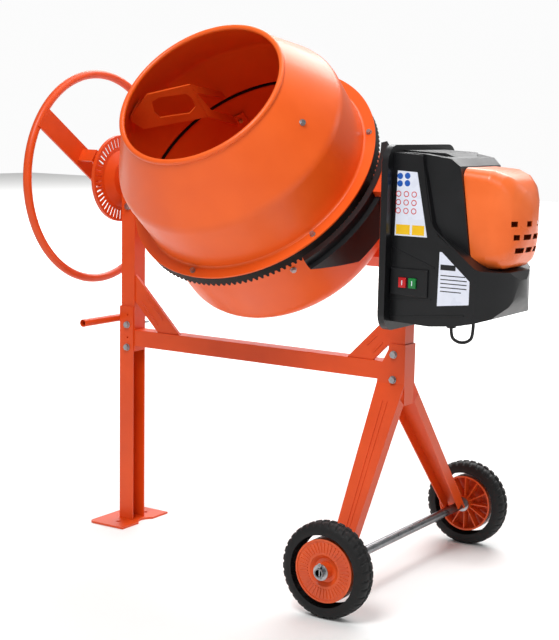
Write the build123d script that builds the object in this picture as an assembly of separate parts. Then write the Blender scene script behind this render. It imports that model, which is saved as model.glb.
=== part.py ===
from build123d import *
import math
import os

# Tilting-drum concrete mixer, about 130 litres.
# Millimetres. +Z up, floor at z = 0. X runs along the drum's tilting axis, with
# the handwheel at -X and the motor at +X. The mouth faces -Y at rest.
# While a piece is modelled, x = 0 is the drum's own axis and y = 0 the tilting
# axis; write() then moves every piece so that the origin lies on the floor under
# the centre of the whole machine.
# Pieces that tilt are modelled with the drum standing upright about the tilting
# axis, with z as the drum's axis, and are then leant forward by drum_lean.

# ---------------------------------------------------------------- driving sizes
# frame
tube = 40.0                 # square frame tube, outside
tube_wall = 2.0
left_upright_x = -375.0
right_upright_x = 369.0
axis_height = 841.0         # tilting axis above the floor
crossbar_top = 480.0
upright_foot = 427.0        # lower end of both uprights
sheet = 3.0                 # folded sheet of the legs

# braces between crossbar and uprights
brace_width = 46.0
brace_lip = 9.0
brace_rib = 15.0
brace_rib_rise = 2.0
left_brace_reach = 134.0
right_brace_reach = 105.0

# foot leg on the handwheel side
leg_top = 536.0
leg_flange = 41.0
foot_plate_thickness = 5.0
foot_plate_width = 107.0
foot_plate_length = 176.0
foot_plate_heel = 46.0      # from the leg's web to the plate's outer edge
foot_hole_offset = 52.0
foot_hole_radius = 5.5
handle_radius = 9.0
handle_wall = 1.5
handle_length = 294.0
handle_height = 505.0

# wheel stand on the motor side
stand_top = 521.0
stand_fold = 433.0          # where the stand's legs splay outwards
stand_web_foot = 388.0
leg_head_width = 68.0       # leg width at the fold
leg_foot_width = 42.0       # leg width at the axle
leg_foot_margin = 14.0      # sheet beyond the axle's centre line, sideways
leg_foot_below = 14.0       # sheet below the axle's centre line
leg_to_wheel = 16.0         # leg's outer face to the tyre's side, at the axle
leg_flange_depth = 22.0
leg_top_width = 35.0
axle_x = 390.0
axle_radius = 10.0
axle_wall = 2.5
wheel_radius = 100.0
wheel_track = 634.0         # between the wheels' middle planes
tyre_width = 50.0
tyre_section = 34.0         # radial depth of the tyre
axle_end_beyond_wheel = 10.0

# bolts
bolt_radius = 4.0           # M8
bolt_head_across = 13.0
bolt_head_height = 5.3
washer_radius = 8.5
washer_thickness = 1.6
bolt_clearance = 0.4
leg_bolt_heights = (436.0, 491.0)
stand_bolt_heights = (443.0, 498.0)
stand_bolt_offset = 5.0     # towards the drum from the upright's middle

# bearing blocks on top of the uprights
block_radius = 30.0
tang_clearance = 0.3
block_bolt_drop = 64.0      # block bolt below the tilting axis
running_gap = 0.3           # radial, shaft in plain bearing

# drum
drum_lean = 49.6            # degrees, mouth leant towards -Y from straight up
drum_sheet = 2.0
drum_radius = 266.0         # middle of the sheet
seam_height = 58.5          # top of the cone's seam flange above the tilting axis
flange_radius = 295.0
flange_sheet = 2.5
seal_thickness = 1.5
seal_lip = 3.0
shoulder_height = 184.0
shoulder_bend = 45.0
mouth_radius = 187.0
mouth_height = 312.0
lip_radius = 6.0            # rolled bead round the mouth
pan_bottom = -171.0
pan_bend = 50.0
flange_bolts = 6
flange_bolt_circle = 281.0
flange_bolt_phase = -35.0

# ring gear and pinion, a straight bevel pair on crossing axes
module = 4.0
ring_teeth = 140
pinion_teeth = 14
ring_inner = 269.5
ring_outer = 293.0
ring_top_gap = 0.0
tooth_addendum = 3.6
tooth_dedendum = 4.7
tooth_thickness = 5.9
pressure_angle = 20.0
pinion_face = (271.0, 292.0)
pinion_hub_end = 300.0
drive_shaft_radius = 10.0

# drum bearing under the pan
hub_radius = 62.0
hub_barrel = 38.0
spindle_radius = 17.5

# blades
blade_sheet = 4.0
blade_ridge = ((-127.0, 88.0, 132.0), (-122.0, 95.0, 232.0))    # fold line, in the upright drum
blade_wall_point = (-226.0, -12.0, 250.0)   # upper panel's plane passes here
blade_pan_point = (-172.0, 192.0, -20.0)    # lower panel runs down to here
# upper panel and its window, out from the ridge and up along it
blade_panel = ((138, 54), (157, 97), (93, 131))
blade_window = ((12, 40), (30, 32), (93, 60), (98, 80), (92, 108), (74, 110), (17, 84), (10, 66))
blade_reach = 330.0          # lower panel before it is trimmed to the wall
blade_arm_width = 74.0
blade_web = 19.0             # frame left round the lower window
blade_tab = (34.0, 30.0)

# yoke
yoke_width = 56.0
yoke_depth = 30.0
yoke_wall = 3.0
yoke_inner_half = 306.0
yoke_top = 42.0
yoke_bar_top = -203.0
yoke_bar_depth = 40.0
yoke_bend = 70.0
left_trunnion_radius = 12.5
right_trunnion_radius = 17.0
right_trunnion_bore = 11.5

# ring-gear guard on the yoke
guard_sheet = 3.0
guard_gap = 8.0
guard_start = -44.0
guard_end = 20.0
guard_taper = 17.0           # degrees over which the lower end tapers

# handwheel and its index disc
disc_x = -409.0
disc_radius = 103.0
disc_sheet = 3.0
disc_slots = 48
slot_inner = 76.0
slot_outer = 97.0
slot_width = 4.4
handwheel_x = -485.0
handwheel_radius = 246.0    # middle of the rim tube
rim_tube_radius = 10.0
handwheel_bar_width = 52.0
handwheel_bar_sheet = 5.0
handwheel_bar_x = -475.0     # bar welded to the rim's disc side
bar_offset = 5.4             # degrees, bar leant past the drum's axis
tongue_width = 32.0
stud_radius = 6.0
hub_radius_outer = 20.0
hub_half = 8.0               # hub sleeve outside the wheel's plane
hub_end = 40.0               # hub sleeve inside it
spring_wire_radius = 1.2
tongue_sheet = 3.0
tongue_clear = 3.0          # tongue to disc when drawn out

# drive housing
housing_x = 393.0           # cover's open side
plate_sheet = 4.0
flange_thickness = 15.0
flange_half_width = 151.0
flange_low = 567.0
flange_high = 948.0
cover_half_width = 126.0
cover_wall = 3.0
cover_low = 588.0
cover_nose_x = 649.0
cap_end = 508.0              # bulge on top of the cover
cap_half_width = 84.0
motor_cover_x = 546.0
motor_cover_end = 668.0
motor_cover_low = 704.0
motor_cover_foot = 580.0     # joint with the cover at its lower end
# x, half width, low, high, corner radius
motor_cover_sections = [(530.0, 87.0, 704.0, 908.0, 22.0), (600.0, 85.0, 704.0, 904.0, 28.0),
                        (628.0, 78.0, 706.0, 894.0, 32.0), (646.0, 64.0, 718.0, 880.0, 34.0),
                        (657.0, 45.0, 744.0, 864.0, 30.0), (664.0, 27.0, 774.0, 844.0, 20.0),
                        (motor_cover_end, 15.0, 794.0, 826.0, 10.0)]
motor_drop = 115.0          # motor axis below the tilting axis
motor_radius = 52.0
motor_start = 434.0
motor_end = 600.0
large_pulley_radius = 81.0
small_pulley_radius = 9.0
pulley_x = (404.0, 424.0)
belt_thickness = 3.0
motor_shaft_radius = 7.0

# switch
switch_x = (409.0, 495.0)
switch_z = (643.0, 699.0)
switch_proud = 5.0
button_x = (439.0, 462.0)   # stop, start
button_z = 670.0
button_size = (17.0, 21.0)
button_proud = 4.0
button_travel = 3.0
button_gap = 0.35

# motor lead
lead_radius = 3.5
gland_x = 518.0
gland_y = -60.0

# ---------------------------------------------------------------- derived places
half_tube = tube / 2
left_inner = left_upright_x + half_tube
left_outer = left_upright_x - half_tube
right_inner = right_upright_x - half_tube
right_outer = right_upright_x + half_tube
upright_top = axis_height - block_radius
stand_bolt_x = right_upright_x - stand_bolt_offset
leg_outer = left_outer - sheet
lean = math.radians(drum_lean)
ring_pitch = module * ring_teeth / 2
pinion_pitch = module * pinion_teeth / 2
cone_slope = pinion_pitch / ring_pitch
cone_flange_low = seam_height - flange_sheet
pan_flange_high = cone_flange_low - seal_thickness
pan_flange_low = pan_flange_high - flange_sheet
ring_top = pan_flange_low - ring_top_gap
motor_axis = axis_height - motor_drop
wheel_y = wheel_track / 2
axle_half = wheel_y + tyre_width / 2 + axle_end_beyond_wheel
leg_foot_y = wheel_y - tyre_width / 2 - leg_to_wheel
yoke_outer_half = yoke_inner_half + yoke_depth
yoke_bar_bottom = yoke_bar_top - yoke_bar_depth
mouth_front = math.sin(lean) * mouth_height + math.cos(lean) * mouth_radius + lip_radius
trunnion_end = handwheel_x + 4
hub_shoulder = handwheel_x + 28
machine_left = handwheel_x - rim_tube_radius
centre_x = (machine_left + motor_cover_end) / 2
centre_y = (axle_half - mouth_front) / 2

leant = Pos(0, 0, axis_height) * Rot(drum_lean, 0, 0)


# ---------------------------------------------------------------- small helpers
def block(x0, x1, y0, y1, z0, z1):
    """Box between two corners."""
    centre = Pos((x0 + x1) / 2, (y0 + y1) / 2, (z0 + z1) / 2)
    return centre * Box(abs(x1 - x0), abs(y1 - y0), abs(z1 - z0))


def rod_x(radius, x0, x1, y=0.0, z=0.0):
    """Cylinder along X between x0 and x1."""
    return Pos((x0 + x1) / 2, y, z) * Rot(0, 90, 0) * Cylinder(radius, abs(x1 - x0))


def rod_y(radius, y0, y1, x=0.0, z=0.0):
    """Cylinder along Y between y0 and y1."""
    return Pos(x, (y0 + y1) / 2, z) * Rot(90, 0, 0) * Cylinder(radius, abs(y1 - y0))


def rod_z(radius, z0, z1, x=0.0, y=0.0):
    """Cylinder along Z between z0 and z1."""
    return Pos(x, y, (z0 + z1) / 2) * Cylinder(radius, abs(z1 - z0))


def tube_x(outer, inner, x0, x1, y=0.0, z=0.0):
    """Round tube along X."""
    return rod_x(outer, x0, x1, y, z) - rod_x(inner, x0 - 1, x1 + 1, y, z)


def polygon(points):
    """Flat face with straight sides."""
    return make_face(Polyline(*points, close=True))


def slab_xz(points, y0, y1):
    """Outline in x and z, carried from y0 to y1."""
    place = Plane(origin=(0, y0, 0), x_dir=(1, 0, 0), z_dir=(0, -1, 0))
    return extrude(place * polygon(points), y1 - y0, dir=(0, 1, 0))


def slab_xy(points, z0, z1):
    """Outline in x and y, carried from z0 to z1."""
    return extrude(Pos(0, 0, z0) * polygon(points), z1 - z0, dir=(0, 0, 1))


def turned(profile):
    """Profile in radius and height, turned about the Z axis."""
    return revolve(Plane.XZ * profile, Axis.Z, 360)


def turned_x(profile):
    """Profile in radius and x, turned about the X axis."""
    return Rot(0, 90, 0) * turned(profile)


def hexagon_head(across, height):
    """Hexagon prism standing on z = 0."""
    return extrude(RegularPolygon(across / 2, 6, major_radius=False), height)


def bolt_y(x, z, y_head, y_end):
    """Hexagon bolt along Y, head and washer towards -Y."""
    y_washer = y_head - washer_thickness
    head = Pos(x, y_washer, z) * Rot(90, 0, 0) * hexagon_head(bolt_head_across, bolt_head_height)
    washer = rod_y(washer_radius, y_washer, y_head, x, z)
    shank = rod_y(bolt_radius, y_head, y_end, x, z)
    return head + washer + shank


def nut_y(x, z, y_face):
    """Hexagon nut and washer on a bolt along Y, seated on the face at y_face."""
    washer = rod_y(washer_radius, y_face, y_face + washer_thickness, x, z)
    place = Pos(x, y_face + washer_thickness + 6.5, z) * Rot(90, 0, 0)
    nut = place * hexagon_head(bolt_head_across, 6.5)
    return nut + washer - rod_y(bolt_radius, y_face - 1, y_face + 20, x, z)


def bolt_holes_y(x, heights, reach=80.0):
    """Clearance holes along Y."""
    radius = bolt_radius + bolt_clearance
    return [rod_y(radius, -reach, reach, x, z) for z in heights]


# ---------------------------------------------------------------- frame
def upright(x, hole_x, heights):
    """Square tube post with its cross-bolt holes."""
    post = block(x - half_tube, x + half_tube, -half_tube, half_tube, upright_foot, upright_top)
    inner = half_tube - tube_wall
    post -= block(x - inner, x + inner, -inner, inner, upright_foot - 1, upright_top + 1)
    holes = bolt_holes_y(hole_x, heights) + bolt_holes_y(x, (axis_height - block_bolt_drop,))
    for hole in holes:
        post -= hole
    return post


def crossbar():
    """Square tube between the uprights."""
    low = crossbar_top - tube
    bar = block(left_inner, right_inner, -half_tube, half_tube, low, crossbar_top)
    inner = half_tube - tube_wall
    hollow = block(left_inner - 1, right_inner + 1, -inner, inner, low + tube_wall, crossbar_top - tube_wall)
    return bar - hollow


def brace(corner_x, reach, side):
    """Stamped channel at 45 degrees with two pressed ribs, welded at both ends.

    corner_x is the upright's inner face and side is +1 where the brace rises
    towards +X.
    """
    foot = reach - brace_width * math.sqrt(2)
    outline = [(0, reach), (reach, 0), (foot, 0), (0, foot)]
    points = [(corner_x - side * a, crossbar_top + b) for a, b in outline]
    front = -half_tube + 3
    web = slab_xz(points, front, front + sheet)
    inset = sheet * math.sqrt(2)
    inner = [(0, reach - inset), (reach - inset, 0), (foot + inset, 0), (0, foot + inset)]
    inner = [(corner_x - side * a, crossbar_top + b) for a, b in inner]
    lips = slab_xz(points, front, front + brace_lip)
    lips -= slab_xz(inner, front - 1, front + brace_lip + 1)
    body = web + lips
    span = reach - brace_width / math.sqrt(2)
    length = span * math.sqrt(2) - 2 * brace_width * 0.75
    middle = (corner_x - side * span / 2, crossbar_top + span / 2)
    for offset in (-brace_rib / 2 - 3, brace_rib / 2 + 3):
        rib = Box(length, brace_rib_rise * 2, 4)
        turn = Rot(0, 45 if side < 0 else -45, 0)
        body += Pos(middle[0], front, middle[1]) * turn * Pos(0, 0, offset) * rib
    return body


def foot_leg():
    """Folded channel, open towards +X, sleeved over the left upright."""
    half = half_tube + sheet
    leg = block(leg_outer, leg_outer + leg_flange, -half, half, foot_plate_thickness, leg_top)
    leg -= block(left_outer, leg_outer + leg_flange + 1, -half_tube, half_tube, 0, leg_top + 1)
    for hole in bolt_holes_y(left_upright_x, leg_bolt_heights):
        leg -= hole
    for z in leg_bolt_heights:
        leg -= rod_y(2.5, -half - 1, -half_tube + 1, left_upright_x + 1, z + 24)
    return leg


def foot_plate():
    """Ground plate with rounded outer corners, two bolt holes and an inner notch."""
    x0 = leg_outer - foot_plate_heel + sheet
    x1 = x0 + foot_plate_width
    half = foot_plate_length / 2
    plate = block(x0, x1, -half, half, 0, foot_plate_thickness)
    outer = plate.edges().filter_by(Axis.Z).group_by(Axis.X)[0]
    plate = fillet(outer, 14)
    notch = rod_z(34, -1, foot_plate_thickness + 1, x1 + 20, 0)
    plate -= notch
    for side in (-1, 1):
        x = leg_outer + leg_flange / 2
        plate -= rod_z(foot_hole_radius, -1, foot_plate_thickness + 1, x, side * foot_hole_offset)
    return plate


def stand_leg(side):
    """Folded leg of the wheel stand; side -1 is the mouth's side.

    A plate on the upright's face, bent at stand_fold, then a tapering channel
    that splays outwards to the axle.
    """
    face = half_tube
    right = right_outer + sheet
    drop = stand_fold - wheel_radius
    run = leg_foot_y - face - sheet
    slope = math.degrees(math.atan2(run, drop))
    length = math.hypot(run, drop) + leg_foot_below
    # upper plate on the upright
    fold_left = right - leg_head_width
    upper = slab_xz([(right - leg_top_width, stand_top), (right, stand_top), (right, stand_fold),
                     (fold_left, stand_fold), (fold_left + 4, stand_fold + 30)], -sheet, 0)
    # splayed channel, drawn hanging from the fold line and then swung out
    foot_right = axle_x + leg_foot_margin
    foot_left = foot_right - leg_foot_width
    outline = [(fold_left, 0), (right, 0), (foot_right, -length + 10), (foot_right - 12, -length),
               (foot_left + 12, -length), (foot_left, -length + 10)]
    web = slab_xz(outline, -sheet, 0)
    skin = [(fold_left + sheet, 1), (right - sheet, 1), (foot_right - sheet, -length + 8),
            (foot_left + sheet, -length + 8)]
    lips = slab_xz(outline, 0, leg_flange_depth) - slab_xz(skin, -1, leg_flange_depth + 1)
    lips -= block(foot_left - 1, foot_right + 1, -1, leg_flange_depth + 1, -length - 1, -length + 30)
    # the channel's side walls start clear of the crossbar and upright
    lips -= block(fold_left - 1, right + 1, -1, leg_flange_depth + 1, -60, 1)
    middle_foot = (foot_left + foot_right) / 2
    for offset in (-5, 7):
        start = ((fold_left + right) / 2 + offset, -45)
        stop = (middle_foot + offset * 0.6, -length + 55)
        rib = slab_xz([(start[0] - 2.5, start[1]), (start[0] + 2.5, start[1]),
                       (stop[0] + 2, stop[1]), (stop[0] - 2, stop[1])], -sheet - 2, -sheet)
        web += rib
    splay = Pos(0, 0, stand_fold) * Rot(-slope, 0, 0)
    leg = upper + splay * (web + lips)
    leg = Pos(0, -face, 0) * leg
    leg -= block(right_upright_x - 200, right + 100, -face, face, stand_fold - 30, stand_top + 1)
    leg -= rod_y(axle_radius + running_gap, -axle_half, -face, axle_x, wheel_radius)
    for hole in bolt_holes_y(stand_bolt_x, stand_bolt_heights):
        leg -= hole
    if side > 0:
        return mirror(leg, Plane.XZ)
    # the front leg and the web behind the upright are one folded sheet
    return leg + block(right_outer, right_outer + sheet, -face - 1, face, stand_web_foot, stand_top)


def axle():
    """Steel tube through both stand legs and both wheels."""
    bar = rod_y(axle_radius, -axle_half, axle_half, axle_x, wheel_radius)
    bar -= rod_y(axle_radius - axle_wall, -axle_half - 1, axle_half + 1, axle_x, wheel_radius)
    for side in (-1, 1):
        y = side * (axle_half - 4)
        bar -= rod_z(2.0, wheel_radius - 20, wheel_radius + 20, axle_x, y)
    return bar


def handle_bar():
    """Lifting handle, an open tube welded across the foot leg."""
    x = leg_outer - handle_radius
    half = handle_length / 2
    bar = rod_y(handle_radius, -half, half, x, handle_height)
    return bar - rod_y(handle_radius - handle_wall, -half - 1, half + 1, x, handle_height)


def frame_bolts():
    """Cross bolts of both legs and of both bearing blocks."""
    face = -half_tube - sheet
    bolts = [bolt_y(left_upright_x, z, face, 56) for z in leg_bolt_heights]
    bolts += [bolt_y(stand_bolt_x, z, face, 56) for z in stand_bolt_heights]
    z = axis_height - block_bolt_drop
    bolts += [bolt_y(x, z, -half_tube, 32) for x in (left_upright_x, right_upright_x)]
    return Compound(bolts)


def frame_nuts():
    """Nuts and washers of the frame bolts."""
    face = half_tube + sheet
    nuts = [nut_y(left_upright_x, z, face) for z in leg_bolt_heights]
    nuts += [nut_y(stand_bolt_x, z, face) for z in stand_bolt_heights]
    z = axis_height - block_bolt_drop
    nuts += [nut_y(x, z, half_tube) for x in (left_upright_x, right_upright_x)]
    return Compound(nuts)


def bearing_block(x, bore):
    """Pivot bearing with a square tang that stands in the upright."""
    half = half_tube - tube_wall - tang_clearance
    low = axis_height - block_bolt_drop - 20
    head = tube_x(block_radius, bore, x - half_tube, x + half_tube, 0, axis_height)
    neck = block(x - half_tube, x + half_tube, -half_tube, half_tube, upright_top, axis_height)
    tang = block(x - half, x + half, -half, half, low, upright_top + 1)
    body = head + neck + tang
    body -= rod_x(bore, x - tube, x + tube, 0, axis_height)
    body -= bolt_holes_y(x, (axis_height - block_bolt_drop,))[0]
    return body


def bearing_blocks():
    """Pivot bearings of both uprights."""
    return Compound([bearing_block(left_upright_x, left_trunnion_radius + running_gap),
                     bearing_block(right_upright_x, right_trunnion_radius + running_gap)])


# ---------------------------------------------------------------- wheels
def tyre(y):
    """Solid rubber tyre with a rounded tread, about the Y axis."""
    inner = wheel_radius - tyre_section
    half = tyre_width / 2
    outline = make_face(Polyline((inner, -half + 8), (wheel_radius - 14, -half),
                                 (wheel_radius - 3, -half + 9),
                                 (wheel_radius, 0), (wheel_radius - 3, half - 9), (wheel_radius - 14, half),
                                 (inner, half - 8), close=True))
    ring = turned(outline)
    return Pos(axle_x, y, wheel_radius) * Rot(90, 0, 0) * ring


def rim(y, side):
    """Pressed rim with a ring of radial ribs on its outer face, and its hub."""
    outer = wheel_radius - tyre_section
    half = tyre_width / 2
    bore = axle_radius + running_gap
    band = turned(make_face(Polyline((outer - 4, -half + 8), (outer, -half + 8), (outer, half - 8),
                                     (outer - 4, half - 8), close=True)))
    disc = turned(make_face(Polyline((bore, 4), (26, 4), (34, 12), (outer - 3, 12), (outer - 3, 15),
                                     (33, 15), (25, 8), (bore, 8), close=True)))
    hub = rod_z(17, -half, half) - rod_z(bore, -half - 1, half + 1)
    body = band + disc + hub
    for k in range(12):
        fin = block(15, outer - 2, -1.2, 1.2, -half + 10, 6)
        body += Rot(0, 0, 30 * k) * fin
    for k in range(40):
        bar = block(38, outer - 8, -1.1, 1.1, 14, 16.5)
        body += Rot(0, 0, 9 * k) * bar
    body -= rod_z(bore, -half - 1, half + 1)
    return Pos(axle_x, y, wheel_radius) * Rot(90 if side < 0 else -90, 0, 0) * body


def wheel_washers():
    """Washers each side of both wheels."""
    washers = []
    for side in (-1, 1):
        inner = wheel_y - tyre_width / 2 - 0.6
        outer = wheel_y + tyre_width / 2 + 0.6
        for y0, y1 in ((inner - 4, inner), (outer, outer + 2)):
            ring = rod_y(17, side * y0, side * y1, axle_x, wheel_radius)
            washers.append(ring - rod_y(axle_radius, -400, 400, axle_x, wheel_radius))
    return Compound(washers)


def cotter_pins():
    """Split pins through both ends of the axle."""
    pins = []
    for side in (-1, 1):
        y = side * (axle_half - 4)
        pin = rod_z(1.6, wheel_radius - 15, wheel_radius + 14, axle_x, y)
        eye = Pos(axle_x, y, wheel_radius + 16) * Rot(90, 0, 90) * Torus(3.2, 1.3)
        pins.append(pin + eye)
    return Compound(pins)


# ---------------------------------------------------------------- drum, upright
def revolved_sheet(points, bend, thickness):
    """Sheet of revolution along a bent line in radius and height."""
    line = FilletPolyline(*points, radius=bend)
    return Plane.XZ * trace(line, thickness)


def drum_bolt_holes(low, high, radius):
    """Holes on the seam's bolt circle."""
    place = PolarLocations(flange_bolt_circle, flange_bolts, flange_bolt_phase)
    return [loc * rod_z(radius, low, high) for loc in place]


def drum_cone():
    """Upper shell: seam flange, straight skirt, rounded shoulder, cone, rolled lip."""
    wall = revolved_sheet([(drum_radius, cone_flange_low), (drum_radius, shoulder_height),
                           (mouth_radius, mouth_height)], shoulder_bend, drum_sheet)
    shell = revolve(wall, Axis.Z, 360)
    inner = drum_radius - drum_sheet / 2
    flange = rod_z(flange_radius, cone_flange_low, seam_height) - rod_z(inner, 0, seam_height + 1)
    lip = Pos(0, 0, mouth_height) * Torus(mouth_radius, lip_radius)
    body = shell + flange + lip
    for hole in drum_bolt_holes(cone_flange_low - 1, seam_height + 1, 3.4):
        body -= hole
    for hole in blade_bolt_holes():
        body -= hole
    return body


def drum_pan():
    """Lower shell: seam flange, straight wall and rounded bottom."""
    wall = revolved_sheet([(drum_radius, pan_flange_high), (drum_radius, pan_bottom),
                           (spindle_radius + 8, pan_bottom)], pan_bend, drum_sheet)
    shell = revolve(wall, Axis.Z, 360)
    inner = drum_radius - drum_sheet / 2
    flange = rod_z(flange_radius - 2, pan_flange_low, pan_flange_high)
    flange -= rod_z(inner, 0, pan_flange_high + 1)
    body = shell + flange
    for hole in drum_bolt_holes(pan_flange_low - 1, pan_flange_high + 1, 3.4):
        body -= hole
    for hole in blade_bolt_holes():
        body -= hole
    return body


def drum_seal():
    """Rubber gasket between the seam flanges; its lip shows inside the drum."""
    inner = drum_radius - drum_sheet / 2 - seal_lip
    ring = rod_z(flange_radius - 3, pan_flange_high, cone_flange_low)
    ring -= rod_z(inner, 0, seam_height)
    for hole in drum_bolt_holes(pan_flange_high - 1, cone_flange_low + 1, 3.4):
        ring -= hole
    return ring


def tooth_section(radius):
    """One downward ring-gear tooth, cut at the given radius."""
    scale = radius / ring_pitch
    tan = math.tan(math.radians(pressure_angle))
    half = tooth_thickness / 2
    pitch_z = cone_slope * radius
    top = (tooth_dedendum + 0.6) * scale
    low = tooth_addendum * scale
    wide = half * scale + top * tan
    narrow = half * scale - low * tan
    return [(-narrow, pitch_z - low), (narrow, pitch_z - low), (wide, pitch_z + top), (-wide, pitch_z + top)]


def ring_tooth():
    """Tooth tapering towards the point where the two axes cross."""
    faces = []
    for radius in (ring_inner + 1, ring_outer):
        place = Plane(origin=(radius, 0, 0), x_dir=(0, 1, 0), z_dir=(1, 0, 0))
        faces.append(place * polygon(tooth_section(radius)))
    return loft(faces, ruled=True)


def ring_gear():
    """Crown gear bolted under the seam, teeth facing the pan's bottom."""
    low_in = cone_slope * ring_inner + tooth_dedendum
    low_out = cone_slope * ring_outer + tooth_dedendum
    rim_face = polygon([(ring_inner, low_in), (ring_outer, low_out), (ring_outer, ring_top),
                        (ring_inner, ring_top)])
    body = turned(rim_face)
    tooth = ring_tooth()
    step = 360 / ring_teeth
    body = body + [Rot(0, 0, step * (k + 0.5)) * tooth for k in range(ring_teeth)]
    for hole in drum_bolt_holes(36, ring_top + 1, 3.05):
        body -= hole
    return body


def flange_screws():
    """Hexagon screws round the drum's seam."""
    screws = []
    for loc in PolarLocations(flange_bolt_circle, flange_bolts, flange_bolt_phase):
        head = Pos(0, 0, seam_height + 1.2) * hexagon_head(10, 4.5)
        washer = rod_z(6.5, seam_height, seam_height + 1.2)
        shank = rod_z(3.0, 38, seam_height)
        screws.append(loc * (head + washer + shank))
    return Compound(screws)


def drum_cavity():
    """Space inside the drum, up to the sheet's inner face."""
    gap = drum_sheet / 2
    inner = drum_radius - gap - seal_lip - 0.2
    pan = rod_z(inner, pan_bottom + gap, seam_height)
    cone_top = mouth_height - 6
    tan = (drum_radius - mouth_radius) / (mouth_height - shoulder_height)
    low = shoulder_height - 18
    top_radius = inner - (cone_top - shoulder_height) * tan
    upper = rod_z(inner, seam_height, low)
    head = turned(polygon([(0, low), (inner, low), (inner - 6, shoulder_height), (top_radius, cone_top),
                           (0, cone_top)]))
    return pan + upper + head


def unit(vector):
    """Vector of length one."""
    return vector.normalized()


def blade():
    """Mixing blade: two windowed panels folded at a ridge, ends on the drum's wall."""
    ridge_low, ridge_high = Vector(*blade_ridge[0]), Vector(*blade_ridge[1])
    wall_high = Vector(*blade_wall_point)
    pan_end = Vector(*blade_pan_point)
    ridge = unit(ridge_high - ridge_low)
    height = (ridge_high - ridge_low).length
    # upper panel, from the ridge out to the cone
    out = unit(wall_high - ridge_high)
    out = unit(out - ridge * out.dot(ridge))
    up_plane = Plane(origin=ridge_low, x_dir=out, z_dir=out.cross(ridge))
    outline = polygon([(0, 0), *blade_panel, (0, height)])
    upper = extrude(up_plane * (outline - polygon(blade_window)), blade_sheet / 2, both=True)
    # lower panel, from the ridge down to the pan's wall
    down = unit(pan_end - ridge_low)
    normal = unit(down.cross(ridge))
    low_plane = Plane(origin=ridge_low, x_dir=down, z_dir=normal)
    top = ridge_high - ridge_low
    top_a = top.dot(low_plane.x_dir)
    top_b = top.dot(low_plane.y_dir)
    sign = 1 if top_b > 0 else -1
    w, far = blade_web, blade_reach - 160
    outer = polygon([(0, 0), (top_a, top_b), (blade_reach, sign * blade_arm_width), (blade_reach, 0)])
    inner = polygon([(w + 7, sign * w), (top_a + 30, top_b - sign * (w - 3)),
                     (far, sign * (blade_arm_width - 14)), (far, sign * w)])
    lower = extrude(low_plane * (outer - inner), blade_sheet / 2, both=True)
    cone_tab, pan_tab = blade_tab_places()[2:]
    long, wide = blade_tab
    tabs = [cone_tab * Pos(0, wide / 2 - 1, 0) * Box(long, 2 * wide - 4, blade_sheet),
            pan_tab * Box(long, wide, blade_sheet)]
    body = (upper + lower + tabs) & drum_cavity()
    for hole in blade_bolt_holes():
        body -= hole
    return body


def blade_bolt_places():
    """Bolts that hold the blade ends: one through the cone, one through the pan."""
    tan = (drum_radius - mouth_radius) / (mouth_height - shoulder_height)
    tilt = 90 - math.degrees(math.atan(tan))
    radius = drum_radius - (245 - shoulder_height) * tan + 1
    places = []
    for turn in (0.0, 180.0):
        places.append(Rot(0, 0, turn - 4) * Pos(radius, 0, 245) * Rot(0, tilt, 0))
        places.append(Rot(0, 0, turn - 51) * Pos(drum_radius + 1, 0, -12) * Rot(0, 90, 0))
    return places


def blade_tab_places():
    """Middles of the tabs that lie on the drum's wall under the bolts."""
    depth = drum_sheet + seal_lip + blade_sheet / 2 + 0.2
    return [place * Pos(0, 0, -depth) for place in blade_bolt_places()]


def blade_bolt_holes():
    """Holes for the blade bolts."""
    return [place * rod_z(3.4, -18, 4) for place in blade_bolt_places()]


def blade_bolts():
    """Bolts of both blades, heads outside the drum."""
    bolts = []
    for place in blade_bolt_places():
        head = Pos(0, 0, 1.6) * hexagon_head(10, 4.5)
        washer = rod_z(7, 0.3, 1.6)
        low = -(drum_sheet + seal_lip + blade_sheet + 0.3)
        shank = rod_z(3.0, low - 5, 1)
        nut = Pos(0, 0, low - 4) * hexagon_head(10, 4)
        bolts.append(place * (head + washer + shank + nut))
    return Compound(bolts)


def drum_hub():
    """Flanged bearing housing bolted under the pan, turning on the spindle."""
    top = pan_bottom - drum_sheet / 2
    flange = rod_z(hub_radius, top - 6, top)
    barrel = rod_z(hub_barrel, yoke_bar_top + 3, top)
    return flange + barrel - rod_z(spindle_radius + running_gap, yoke_bar_top, top + 1)


# ---------------------------------------------------------------- yoke, upright
def yoke():
    """U-shaped fork of rectangular tube round the drum."""
    outer = FilletPolyline((-yoke_outer_half, yoke_top), (-yoke_outer_half, yoke_bar_bottom),
                           (yoke_outer_half, yoke_bar_bottom), (yoke_outer_half, yoke_top), radius=yoke_bend)
    inner_bend = yoke_bend - yoke_depth
    inner = FilletPolyline((-yoke_inner_half, yoke_top), (-yoke_inner_half, yoke_bar_top),
                           (yoke_inner_half, yoke_bar_top), (yoke_inner_half, yoke_top), radius=inner_bend)
    caps = [Line((-yoke_outer_half, yoke_top), (-yoke_inner_half, yoke_top)),
            Line((yoke_inner_half, yoke_top), (yoke_outer_half, yoke_top))]
    face = Plane.XZ * make_face(outer.edges() + inner.edges() + ShapeList(caps))
    body = extrude(face, yoke_width / 2, both=True)
    core = offset(face, -yoke_wall, kind=Kind.INTERSECTION)
    body -= extrude(core, yoke_width / 2 - yoke_wall, both=True)
    body -= rod_x(left_trunnion_radius, -yoke_outer_half - 5, -yoke_inner_half + 5)
    body -= rod_x(right_trunnion_radius, yoke_inner_half - 5, yoke_outer_half + 5)
    body -= rod_z(spindle_radius, yoke_bar_bottom - 5, yoke_bar_top + 5)
    return body


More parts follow.
